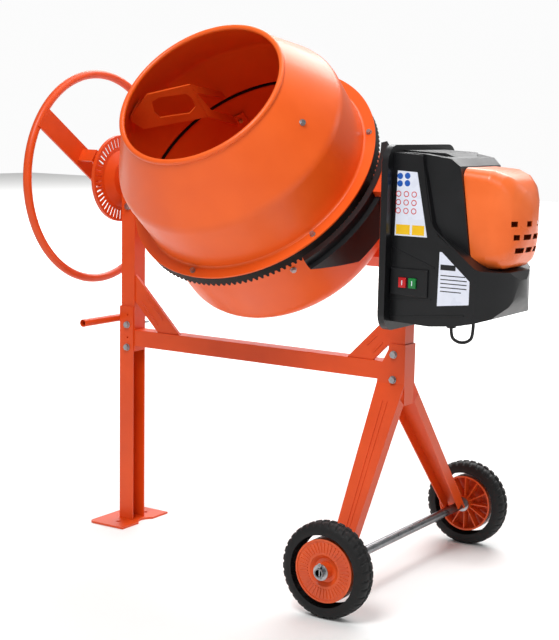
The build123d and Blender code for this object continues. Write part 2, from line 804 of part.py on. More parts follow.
def left_trunnion():
    """Solid pivot shaft from the yoke to the handwheel's nut."""
    shaft = rod_x(left_trunnion_radius, trunnion_end, -yoke_inner_half)
    stud = rod_x(stud_radius, trunnion_end - 8, trunnion_end)
    collar = tube_x(24, left_trunnion_radius - 1, -yoke_outer_half - 8, -yoke_outer_half)
    return shaft + stud + collar


def right_trunnion():
    """Hollow pivot with the drive shaft running through it."""
    body = rod_x(right_trunnion_radius, yoke_inner_half, right_outer + 3)
    body += rod_x(26, yoke_outer_half, yoke_outer_half + 6)
    return body - rod_x(right_trunnion_bore, yoke_inner_half - 1, right_outer + 4)


def drum_spindle():
    """Fixed spindle standing on the yoke's bar, with a foot collar."""
    top = pan_bottom + 4
    return rod_z(spindle_radius, yoke_bar_bottom - 12, top) + rod_z(30, yoke_bar_bottom - 4, yoke_bar_bottom)


def spindle_nut():
    """Large nut under the yoke bar."""
    nut = Pos(0, 0, yoke_bar_bottom - 16) * hexagon_head(46, 12)
    return nut - rod_z(spindle_radius, yoke_bar_bottom - 20, yoke_bar_bottom)


def gear_guard():
    """Stepped plastic guard over the ring gear and pinion on the yoke's arm."""
    r0 = flange_radius + guard_gap
    s = guard_sheet
    top = 44.0
    step = 26.0
    skirt = -46.0
    wide = r0 + 14
    widest = r0 + 27
    outline = polygon([(r0, top), (wide, top), (wide, step), (widest, step), (widest, skirt),
                       (widest - s, skirt), (widest - s, step - s), (wide - s, step - s), (wide - s, top - s),
                       (r0, top - s)])
    span = guard_end - guard_start
    body = Rot(0, 0, guard_start) * revolve(Plane.XZ * outline, Axis.Z, span)
    # the lower end tapers to a point
    middle = math.radians(guard_start + guard_taper / 2)
    across, along = math.cos(middle), math.sin(middle)
    cut_plane = Plane(origin=(widest * across, widest * along, 0), x_dir=(-along, across, 0),
                      z_dir=(across, along, 0))
    half = math.radians(guard_taper / 2) * widest
    wedge = polygon([(-half - 30, skirt - 20), (half, skirt - 20), (half, skirt), (-half + 2, top - 18),
                     (-half - 30, top - 4)])
    body -= extrude(cut_plane * wedge, 60, both=True)
    # notch for the yoke's arm
    arm = block(yoke_inner_half - 3, yoke_outer_half + 20, -yoke_width / 2 - 1.5, yoke_width / 2 + 1.5,
                skirt - 1, yoke_top + 1.5)
    return body - arm


# ---------------------------------------------------------------- drive
def involute_flank():
    """Points of one pinion flank from the base circle to the tip, as (radius, angle)."""
    base = pinion_pitch * math.cos(math.radians(pressure_angle))
    tip = pinion_pitch + tooth_addendum

    def turn(radius):
        """Involute function at a radius."""
        roll = math.sqrt(max(radius * radius / base / base - 1, 0))
        return roll - math.atan(roll)

    half = tooth_thickness / 2 / pinion_pitch + turn(pinion_pitch)
    radii = [base + (tip - base) * k / 4 for k in range(5)]
    return [(r, half - turn(r)) for r in radii]


def pinion_face_at(x):
    """Pinion outline at one x, scaled towards the crossing of the axes."""
    scale = x / ring_pitch
    root = pinion_pitch - tooth_dedendum
    flank = involute_flank()
    points = []
    for k in range(pinion_teeth):
        middle = 2 * math.pi * k / pinion_teeth + math.pi / 2
        left = [(root, flank[0][1])] + flank
        right = [(r, -a) for r, a in reversed(left)]
        for r, a in left + right:
            angle = middle - a
            points.append((r * scale * math.cos(angle), r * scale * math.sin(angle)))
    place = Plane(origin=(x, 0, 0), x_dir=(0, 1, 0), z_dir=(1, 0, 0))
    return place * polygon(points)


def pinion():
    """Bevel pinion on the end of the drive shaft."""
    faces = [pinion_face_at(x) for x in pinion_face]
    body = loft(faces, ruled=True)
    body += rod_x(19, pinion_face[1] - 1, pinion_hub_end)
    return body - rod_x(drive_shaft_radius, pinion_face[0] - 1, pinion_hub_end + 1)


def drive_shaft():
    """Shaft from the pinion through the trunnion to the large pulley."""
    return rod_x(drive_shaft_radius, pinion_face[0], pulley_x[1] + 8)


def drive_pulley():
    """Large ribbed pulley with a web and a hub."""
    x0, x1 = pulley_x
    ring = tube_x(large_pulley_radius, large_pulley_radius - 9, x0, x1)
    web = tube_x(large_pulley_radius - 8, drive_shaft_radius, (x0 + x1) / 2 - 2, (x0 + x1) / 2 + 2)
    hub = tube_x(20, drive_shaft_radius, x0, x1 + 4)
    for k in range(6):
        ring -= tube_x(large_pulley_radius + 1, large_pulley_radius - 1.5, x0 + 3 + 2.6 * k,
                       x0 + 4.2 + 2.6 * k)
    holes = [Rot(60 * k, 0, 0) * rod_x(14, x0 - 1, x1 + 1, 0, 50) for k in range(6)]
    body = ring + web + hub
    for hole in holes:
        body -= hole
    return Pos(0, 0, axis_height) * body


def motor_pulley():
    """Small ribbed pulley on the motor's shaft."""
    x0, x1 = pulley_x
    return tube_x(small_pulley_radius, motor_shaft_radius, x0 - 1, x1 + 1, 0, motor_axis)


def motor_rotor():
    """Motor shaft with the rotor core on it."""
    shaft = rod_x(motor_shaft_radius, pulley_x[0] - 2, motor_end + 8, 0, motor_axis)
    core = rod_x(motor_radius - 16, motor_start + 34, motor_end - 34, 0, motor_axis)
    fan = rod_x(motor_radius - 12, motor_end - 16, motor_end - 8, 0, motor_axis)
    return shaft + core + fan


def belt_loop(outer):
    """Face of a belt loop at a distance outside the pulleys."""
    big = large_pulley_radius + outer
    small = small_pulley_radius + outer
    sine = (big - small) / motor_drop
    cosine = math.sqrt(1 - sine * sine)
    spots = []
    for side in (-1, 1):
        spots.append((side * big * cosine, axis_height - big * sine, side * small * cosine,
                      motor_axis - small * sine))
    left, right = spots
    quad = polygon([(left[0], left[1]), (left[2], left[3]), (right[2], right[3]), (right[0], right[1])])
    place = Plane.YZ
    face = quad + Pos(0, axis_height) * Circle(big) + Pos(0, motor_axis) * Circle(small)
    return place * face


def drive_belt():
    """Ribbed belt round both pulleys."""
    x0 = pulley_x[0] + 2
    width = pulley_x[1] - pulley_x[0] - 4
    loop = belt_loop(belt_thickness + running_gap) - belt_loop(running_gap)
    return Pos(x0, 0, 0) * extrude(loop, width)


def motor_stator():
    """Motor casing with cooling fins, hollow for the rotor."""
    body = rod_x(motor_radius, motor_start, motor_end, 0, motor_axis)
    body -= rod_x(motor_radius - 10, motor_start + 10, motor_end + 1, 0, motor_axis)
    body -= rod_x(motor_shaft_radius + running_gap, motor_start - 1, motor_start + 12, 0, motor_axis)
    return body


def motor_bracket():
    """Bent bracket that carries the motor in front of the back plate."""
    low = motor_axis - 46
    high = motor_axis + 34
    face_x = motor_start - 4
    face = block(face_x, motor_start, -62, 62, low, high)
    body = face - rod_x(motor_shaft_radius + 6, face_x - 1, motor_start + 1, 0, motor_axis)
    for side in (-1, 1):
        body += block(housing_x, motor_start, side * 62, side * 66, low, high)
    return body


# ---------------------------------------------------------------- housing
def outer_tier(inset):
    """Wide part of the cover: label side, switch side and the rounded nose."""
    top = flange_high - 18
    g = inset
    end = cover_nose_x - g
    side_view = [(housing_x, cover_low + g), (500, cover_low - 4 + g), (560, cover_low + 2 + g),
                 (596, cover_low + 10 + g), (622, cover_low + 18 + g), (640 - g, 628 + g / 2),
                 (end, 652), (end, 682),
                 (640 - g, 699 - g), (606 - g, 704 - g), (514 - g, 769 - g), (500 - g, 794 - g),
                 (481 - g, 892 - g), (470 - g, top - g), (housing_x, top + 4 - g)]
    y = cover_half_width - g
    plan = [(housing_x, -y), (600, -y), (626 - g, -84), (644 - g, -38), (end, -16), (end, 16), (644 - g, 38),
            (626 - g, 84), (600, y), (housing_x, y)]
    return slab_xz(side_view, -y, y) & slab_xy(plan, 500, 1000)


def top_cap(inset):
    """Rounded bulge over the large pulley, on top of the cover."""
    g = inset
    side_view = [(housing_x, 880), (cap_end - 8 - g, 880), (cap_end - g, 908), (cap_end - g, 926 - g),
                 (cap_end - 10 - g, 934 - g), (housing_x, 938 - g)]
    y = cap_half_width - g
    c = 34
    plan = [(housing_x, -y), (cap_end - c - g, -y), (cap_end - 10 - g, -y + 10), (cap_end - g, -y + c),
            (cap_end - g, y - c), (cap_end - 10 - g, y - 10), (cap_end - c - g, y), (housing_x, y)]
    return slab_xz(side_view, -y, y) & slab_xy(plan, 500, 1000)


def inner_tier(inset):
    """Narrower ridge of the cover that the motor cover stands on."""
    g = inset
    top = flange_high - 18
    side_view = [(housing_x, 640), (600, 640), (604, 698 - g), (motor_cover_foot - g,
                                                                motor_cover_low - g + 4),
                 (567 - g, 733), (motor_cover_x - 1 - g, 896 - g), (motor_cover_x - 4 - g, 909 - g),
                 (524, 924 - g), (470, top + 2 - g), (housing_x, top + 4 - g)]
    y = 114 - g
    plan = [(housing_x, -y), (478, -y), (552, -92 + g), (610, -86 + g), (610, 86 - g), (552, 92 - g),
            (478, y), (housing_x, y)]
    return slab_xz(side_view, -y, y) & slab_xy(plan, 500, 1000)


def motor_cover_form(inset):
    """Rounded dome of the motor cover, lofted along X."""
    g = inset
    faces = []
    for x, half, low, high, corner in motor_cover_sections:
        width = 2 * (half - g)
        height = high - low - 2 * g
        last = x == motor_cover_end
        place = Plane(origin=(x - g if last else x, 0, (high + low) / 2), x_dir=(0, 1, 0), z_dir=(1, 0, 0))
        faces.append(place * RectangleRounded(width, height, min(corner, 0.45 * width, 0.45 * height)))
    return loft(faces, ruled=True)


def motor_side():
    """Everything in front of the sloping joint between the cover and the motor cover."""
    return slab_xz([(motor_cover_x - 5, 1000), (motor_cover_x, 892), (568, 733), (motor_cover_foot, 706),
                    (motor_cover_foot + 2, 600), (700, 600), (700, 1000)], -200, 200)


def housing_plate():
    """Steel back plate on the right upright; the drive shaft passes through it."""
    half = flange_half_width - 6
    low = flange_low + 6
    high = flange_high - 6
    middle = (low + high) / 2
    place = Plane(origin=(right_outer, 0, middle), x_dir=(0, 1, 0), z_dir=(1, 0, 0))
    plate = extrude(place * RectangleRounded(2 * half, high - low, 30), plate_sheet)
    plate -= rod_x(right_trunnion_radius + 2, right_outer - 1, housing_x + 1, 0, axis_height)
    return plate


def housing_cover():
    """Black moulded cover with a deep rim, a wide tier and a narrow ridge."""
    middle = (flange_low + flange_high) / 2
    place = Plane(origin=(housing_x, 0, middle), x_dir=(0, 1, 0), z_dir=(1, 0, 0))
    height = flange_high - flange_low
    rim_block = extrude(place * RectangleRounded(2 * flange_half_width, height, 36), flange_thickness)
    well = extrude(place * RectangleRounded(2 * flange_half_width - 8, height - 8, 32),
                   flange_thickness - cover_wall)
    body = rim_block + outer_tier(0) + inner_tier(0) + top_cap(0)
    body -= outer_tier(cover_wall) + inner_tier(cover_wall) + top_cap(cover_wall) + well
    # open towards the motor, under the motor cover
    body -= motor_cover_form(cover_wall + 4)
    body -= motor_cover_form(-running_gap) & motor_side()
    body -= rod_x(motor_radius + 5, motor_start, motor_end + 14, 0, motor_axis)
    body -= block(switch_x[0] + 6, switch_x[1] - 6, -cover_half_width - 1, -cover_half_width + 8,
                  switch_z[0] + 6, switch_z[1] - 6)
    body -= rod_z(7.2, cover_low - 20, cover_low + 20, gland_x, gland_y)
    body -= rod_z(lead_radius + 0.5, cover_low - 20, cover_low + 20, lead_end[0], lead_end[1])
    return body


def motor_cover():
    """Orange vented dome over the motor."""
    body = (motor_cover_form(0) & motor_side()) - motor_cover_form(cover_wall)
    body -= motor_cover_form(cover_wall).moved(Location((-cover_wall - 1, 0, 0)))
    body -= rod_x(motor_radius + 5, motor_start, motor_end + 14, 0, motor_axis)
    for row in range(3):
        z = 798 - 27 * row
        for column in range(3):
            angle = (36, 12, -12)[column] - 4 * row
            for side in (-1, 1):
                slot = block(40, 200, -8, 8, -5.5, 5.5)
                body -= Pos(570, 0, z) * Rot(0, 0, side * angle) * slot
    return body


def switch_box():
    """Flat switch panel let into the cover."""
    x0, x1 = switch_x
    z0, z1 = switch_z
    face = -cover_half_width
    panel_block = block(x0, x1, face - switch_proud, face, z0, z1)
    panel_block = chamfer(panel_block.faces().sort_by(Axis.Y)[0].edges(), 1.5)
    body = panel_block + block(x0 + 8, x1 - 8, face - 1, face + 34, z0 + 8, z1 - 8)
    depth = button_travel + 12
    for x in button_x:
        half_x = button_size[0] / 2 + button_gap
        half_z = button_size[1] / 2 + button_gap
        body -= block(x - half_x, x + half_x, face - switch_proud - 1, face + depth,
                      button_z - half_z, button_z + half_z)
    return body


def button(x):
    """Rectangular push button in its guide."""
    face = -cover_half_width - switch_proud
    hx, hz = button_size[0] / 2, button_size[1] / 2
    body = block(x - hx, x + hx, face - button_proud, face + 10, button_z - hz, button_z + hz)
    return fillet(body.faces().sort_by(Axis.Y)[0].edges(), 1.2)


def sticker(points, y):
    """Thin label on the cover's front side."""
    return slab_xz(points, y - 0.4, y)


def safety_label():
    """Tall label with pictograms."""
    return sticker([(414, 765), (489, 765), (462, 895), (417, 897)], -cover_half_width)


def rating_label():
    """Five-sided label beside the switch."""
    return sticker([(517, 628), (588, 636), (588, 683), (524, 738), (519, 738)], -cover_half_width)


def cable_gland():
    """Gland that clamps the motor lead under the housing."""
    z = cover_low
    body = rod_z(7, z - 4, z + 8, gland_x, gland_y) + rod_z(10, z - 12, z - 4, gland_x, gland_y)
    return body - rod_z(lead_radius, z - 20, z + 20, gland_x, gland_y)


# the lead leaves the gland, hangs in one loop and enters the cover again
lead_end = (561.0, -44.0)
lead_route = [(518.0, -60.0, 582.0), (518.0, -60.0, 560.0), (526.0, -57.0, 549.5), (539.5, -52.0, 545.0),
              (553.0, -47.0, 549.5), (561.0, -44.0, 560.0), (561.0, -44.0, 598.0)]


def arc_radii(points):
    """Largest tangent arc at each inner point: 0.45 of the shorter run over the half turn's tangent."""
    radii = []
    for a, b, c in zip(points, points[1:], points[2:]):
        run_in = Vector(*b) - Vector(*a)
        run_out = Vector(*c) - Vector(*b)
        half = math.radians(run_in.get_angle(run_out)) / 2
        radii.append(0.45 * min(run_in.length, run_out.length) / math.tan(half))
    return radii


def motor_lead():
    """Round lead in one hanging loop below the housing."""
    radii = arc_radii(lead_route)
    path = FilletPolyline(*lead_route, radius=radii)
    start = Vector(*lead_route[1]) - Vector(*lead_route[0])
    section = Plane(origin=lead_route[0], z_dir=start) * Circle(lead_radius)
    return sweep(section, path=path)


# ---------------------------------------------------------------- handwheel, upright
def index_disc():
    """Dished disc with radial slots, fixed to the left bearing block."""
    s = disc_sheet
    inner_x = left_outer - s
    profile = polygon([(left_trunnion_radius + 0.8, left_outer), (left_trunnion_radius + 0.8, inner_x),
                       (44, inner_x), (66, disc_x - s), (disc_radius - s, disc_x - s),
                       (disc_radius - s, disc_x - 9), (disc_radius, disc_x - 9), (disc_radius, disc_x),
                       (68, disc_x), (47, left_outer)])
    body = turned_x(profile)
    step = 360 / disc_slots
    slot = block(disc_x - s - 1, disc_x + 1, -slot_width / 2, slot_width / 2, slot_inner, slot_outer)
    slots = [Rot(step * k + bar_offset, 0, 0) * slot for k in range(disc_slots)]
    return body - slots


def handwheel_rim():
    """Round tube rim."""
    ring = Rot(0, 90, 0) * Torus(handwheel_radius, rim_tube_radius)
    return Pos(handwheel_x, 0, 0) * ring


def handwheel_bar():
    """Flat bar across the rim, along the drum's axis."""
    s = handwheel_bar_sheet / 2
    reach = handwheel_radius + rim_tube_radius / 2
    bar = block(handwheel_bar_x - s, handwheel_bar_x + s, -handwheel_bar_width / 2, handwheel_bar_width / 2,
                -reach, reach)
    bar -= rod_x(hub_radius_outer, handwheel_x - hub_half, handwheel_x + hub_end)
    bar -= handwheel_rim()
    return Rot(bar_offset, 0, 0) * bar.solids().sort_by(SortBy.VOLUME)[-1]


def handwheel_hub():
    """Hub sleeve that slides on the trunnion."""
    x0 = handwheel_x - hub_half
    x1 = handwheel_x + hub_end
    body = rod_x(hub_radius_outer, x0, x1) - rod_x(left_trunnion_radius + running_gap, x0 - 1, x1 + 1)
    return body - rod_x(17, x0 - 1, hub_shoulder)


def locking_tongue():
    """Bent tongue welded to the bar; its nose drops into a slot of the disc."""
    tip = disc_x - disc_sheet - tongue_clear
    back = handwheel_bar_x + handwheel_bar_sheet / 2
    half = tongue_width / 2
    shelf = block(back, tip - 14, -half, half, slot_outer - 5, slot_outer)
    face = block(tip - 18, tip - 14, -half, half, slot_inner, slot_outer)
    nose = block(tip - 15, tip, -tongue_sheet / 2, tongue_sheet / 2, slot_inner + 2, slot_outer - 2)
    return Rot(bar_offset, 0, 0) * (shelf + face + nose)


def handwheel_nut():
    """Nut and washer that keep the handwheel on the trunnion."""
    x = trunnion_end
    washer = rod_x(16, x - 2, x)
    nut = Pos(x - 2, 0, 0) * Rot(0, -90, 0) * hexagon_head(19, 5)
    return nut + washer - rod_x(stud_radius, x - 9, x + 1)


def handwheel_spring():
    """Coil spring between the end washer and the hub's shoulder."""
    length = hub_shoulder - trunnion_end - 2 * spring_wire_radius - 1
    coil = Helix(pitch=length / 4, height=length, radius=14.6)
    section = Plane(origin=coil @ 0, z_dir=coil % 0) * Circle(spring_wire_radius)
    spring = sweep(section, path=coil)
    return Pos(trunnion_end + spring_wire_radius + 0.5, 0, 0) * Rot(0, 90, 0) * spring


# ---------------------------------------------------------------- writing
def write(name, shape, turn=False):
    """Place one piece in the machine's frame and write its STEP."""
    placed = leant * shape if turn else shape
    placed = Pos(-centre_x, -centre_y, 0) * placed
    export_step(placed, f"parts/{name}.step")


def main():
    """Build and write every piece."""
    os.makedirs("parts", exist_ok=True)
    write("left_upright", upright(left_upright_x, left_upright_x, leg_bolt_heights))
    write("right_upright", upright(right_upright_x, stand_bolt_x, stand_bolt_heights))
    write("crossbar", crossbar())
    write("left_brace", brace(left_inner, left_brace_reach, -1))
    write("right_brace", brace(right_inner, right_brace_reach, 1))
    write("foot_leg", foot_leg())
    write("foot_plate", foot_plate())
    write("wheel_leg_front", stand_leg(-1))
    write("wheel_leg_rear", stand_leg(1))
    write("axle", axle())
    write("handle_bar", handle_bar())
    write("frame_bolts", frame_bolts())
    write("frame_nuts", frame_nuts())
    write("bearing_blocks", bearing_blocks())
    for name, side in (("front", -1), ("rear", 1)):
        write(f"{name}_tyre", tyre(side * wheel_y))
        write(f"{name}_rim", rim(side * wheel_y, side))
    write("wheel_washers", wheel_washers())
    write("cotter_pins", cotter_pins())
    write("index_disc", index_disc(), True)

    write("drum_cone", drum_cone(), True)
    write("drum_pan", drum_pan(), True)
    write("drum_seal", drum_seal(), True)
    write("ring_gear", ring_gear(), True)
    write("flange_screws", flange_screws(), True)
    first = blade()
    write("left_blade", first, True)
    write("right_blade", Rot(0, 0, 180) * first, True)
    write("blade_bolts", blade_bolts(), True)
    write("drum_hub", drum_hub(), True)

    write("yoke", yoke(), True)
    write("left_trunnion", left_trunnion(), True)
    write("right_trunnion", right_trunnion(), True)
    write("drum_spindle", drum_spindle(), True)
    write("spindle_nut", spindle_nut(), True)
    write("gear_guard", gear_guard(), True)
    write("pinion", pinion(), True)
    write("drive_shaft", drive_shaft(), True)

    write("handwheel_rim", handwheel_rim(), True)
    write("handwheel_bar", handwheel_bar(), True)
    write("handwheel_hub", handwheel_hub(), True)
    write("locking_tongue", locking_tongue(), True)
    write("handwheel_nut", handwheel_nut(), True)
    write("handwheel_spring", handwheel_spring(), True)

    write("housing_plate", housing_plate())
    write("housing_cover", housing_cover())
    write("motor_cover", motor_cover())
    write("drive_pulley", drive_pulley())
    write("motor_pulley", motor_pulley())
    write("drive_belt", drive_belt())
    write("motor_stator", motor_stator())
    write("motor_rotor", motor_rotor())
    write("motor_bracket", motor_bracket())
    write("switch_box", switch_box())
    write("stop_button", button(button_x[0]))
    write("start_button", button(button_x[1]))
    write("safety_label", safety_label())
    write("rating_label", rating_label())
    write("cable_gland", cable_gland())
    write("motor_lead", motor_lead())
    print("lead radii", [round(r, 1) for r in arc_radii(lead_route)])
    print("origin from drum axis", round(centre_x, 3), round(centre_y, 3))


main()
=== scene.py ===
"""Concrete mixer: surfaces, finishes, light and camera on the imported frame."""

import logging
import math
from dataclasses import dataclass
from enum import Enum
from typing import Callable, Sequence

import bmesh
import bpy
import numpy as np
from mathutils import Matrix, Vector


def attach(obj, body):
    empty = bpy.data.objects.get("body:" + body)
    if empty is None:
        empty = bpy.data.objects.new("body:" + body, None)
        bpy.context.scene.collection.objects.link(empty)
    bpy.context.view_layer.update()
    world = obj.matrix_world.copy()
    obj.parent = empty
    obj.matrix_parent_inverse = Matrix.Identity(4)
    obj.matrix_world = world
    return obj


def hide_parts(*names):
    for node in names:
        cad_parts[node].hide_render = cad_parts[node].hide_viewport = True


log = logging.getLogger("mixer")
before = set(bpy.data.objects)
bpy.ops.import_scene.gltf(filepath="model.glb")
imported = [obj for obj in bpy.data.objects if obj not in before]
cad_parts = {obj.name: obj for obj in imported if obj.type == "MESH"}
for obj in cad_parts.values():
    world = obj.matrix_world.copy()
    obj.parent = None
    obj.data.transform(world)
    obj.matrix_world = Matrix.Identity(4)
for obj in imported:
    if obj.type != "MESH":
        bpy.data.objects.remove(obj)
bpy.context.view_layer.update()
MM = 0.001


# ---------------------------------------------------------------- colour and nodes
def linear(hex_colour: str) -> tuple[float, float, float, float]:
    """Turn an sRGB hex colour into the linear values that sockets take.

    Args:
        hex_colour: Six hex digits, with or without a leading hash.

    Returns:
        Red, green, blue and an alpha of one.
    """
    digits = hex_colour.lstrip("#")
    values = [int(digits[i:i + 2], 16) / 255 for i in (0, 2, 4)]
    flat = [v / 12.92 if v <= 0.04045 else ((v + 0.055) / 1.055) ** 2.4 for v in values]
    return (flat[0], flat[1], flat[2], 1.0)


def add(tree: bpy.types.NodeTree, kind: str, links: dict | None = None, **settings: object) -> bpy.types.Node:
    """Add one shader node with its settings, constants and incoming links.

    Args:
        tree: Node tree that takes the node.
        kind: Node type, such as ShaderNodeTexNoise.
        links: Socket name or number to a constant or to an output socket.
        **settings: Attributes set on the node itself.

    Returns:
        The new node.
    """
    node = tree.nodes.new(kind)
    for key, value in settings.items():
        setattr(node, key, value)
    for key, value in (links or {}).items():
        socket = node.inputs[key]
        if isinstance(value, bpy.types.NodeSocket):
            tree.links.new(value, socket)
        else:
            socket.default_value = value
    return node


def ramp(tree: bpy.types.NodeTree, source: bpy.types.NodeSocket,
         stops: Sequence[tuple[float, tuple]]) -> bpy.types.NodeSocket:
    """Add a colour ramp whose stops are given in order, and return its colour."""
    node = add(tree, "ShaderNodeValToRGB", {"Fac": source})
    elements = node.color_ramp.elements
    while len(elements) < len(stops):
        elements.new(0.5)
    for element, (place, colour) in zip(elements, stops):
        element.position = place
        element.color = colour
    return node.outputs["Color"]


class Texture(Enum):
    """Which small relief a finish has."""

    ORANGE_PEEL = "orange peel of a powder coat"
    GRAIN = "spark-eroded mould grain"
    TURNED = "fine turning or plating marks"
    CAST = "sand-cast skin"
    PRINT = "flat printed film"


@dataclass(frozen=True)
class Finish:
    """One material and process: base colour, its variation, gloss and relief."""

    name: str
    colour: str
    shade: str
    texture: Texture
    roughness: float
    metallic: float = 0.0
    ior: float = 1.5
    coat: float = 0.0
    coat_roughness: float = 0.1
    grain_mm: float = 1.2
    relief_mm: float = 0.02
    patch_mm: float = 90.0
    dust: float = 0.0

    def make(self) -> bpy.types.Material:
        """Build the node tree of this finish.

        Returns:
            The material.
        """
        material = bpy.data.materials.new(self.name)
        material.use_nodes = True
        tree = material.node_tree
        tree.nodes.clear()
        place = add(tree, "ShaderNodeTexCoord").outputs["Object"]
        # broad patches: batch-to-batch thickness of paint, flow of plastic, handling marks
        patches = add(tree, "ShaderNodeTexNoise",
                      {"Vector": place, "Scale": 1000 / self.patch_mm, "Detail": 3.0, "Roughness": 0.55})
        tint = ramp(tree, patches.outputs["Fac"], [(0.36, linear(self.shade)), (0.64, linear(self.colour))])
        fine = add(tree, "ShaderNodeTexNoise",
                   {"Vector": place, "Scale": 1000 / self.grain_mm, "Detail": 2.0, "Roughness": 0.6})
        height = fine.outputs["Fac"]
        if self.texture is Texture.TURNED:
            # streaks: the same noise squeezed along one way
            squeezed = add(tree, "ShaderNodeMapping", {"Vector": place, "Scale": (1.0, 1.0, 9.0)})
            streak = add(tree, "ShaderNodeTexNoise",
                         {"Vector": squeezed.outputs["Vector"], "Scale": 1000 / (4 * self.grain_mm),
                          "Detail": 4.0})
            height = streak.outputs["Fac"]
        if self.texture is Texture.CAST:
            pits = add(tree, "ShaderNodeTexVoronoi", {"Vector": place, "Scale": 1000 / (2.2 * self.grain_mm)})
            height = add(tree, "ShaderNodeMath", {0: pits.outputs["Distance"], 1: fine.outputs["Fac"]},
                         operation="ADD").outputs["Value"]
        spread = 0.5 * min(self.roughness, 1 - self.roughness)
        rough = add(tree, "ShaderNodeMapRange",
                    {"Value": patches.outputs["Fac"], "From Min": 0.3, "From Max": 0.7,
                     "To Min": self.roughness - 0.35 * spread, "To Max": self.roughness + 0.35 * spread})
        colour = tint
        if self.dust > 0:
            # pale dust that lies on faces turned upwards
            up = add(tree, "ShaderNodeSeparateXYZ",
                     {"Vector": add(tree, "ShaderNodeNewGeometry").outputs["Normal"]}).outputs["Z"]
            lying = add(tree, "ShaderNodeMapRange",
                        {"Value": up, "From Min": 0.4, "From Max": 1.0, "To Min": 0.0, "To Max": self.dust})
            colour = add(tree, "ShaderNodeMix", {0: lying.outputs["Result"], 6: tint, 7: linear("#B9B3AA")},
                         data_type="RGBA").outputs[2]
        bump = add(tree, "ShaderNodeBump",
                   {"Height": height, "Distance": self.relief_mm * MM, "Strength": 0.7})
        shader = add(tree, "ShaderNodeBsdfPrincipled",
                     {"Base Color": colour, "Roughness": rough.outputs["Result"], "Metallic": self.metallic,
                      "IOR": self.ior, "Coat Weight": self.coat, "Coat Roughness": self.coat_roughness,
                      "Normal": bump.outputs["Normal"]})
        add(tree, "ShaderNodeOutputMaterial", {"Surface": shader.outputs["BSDF"]})
        return material


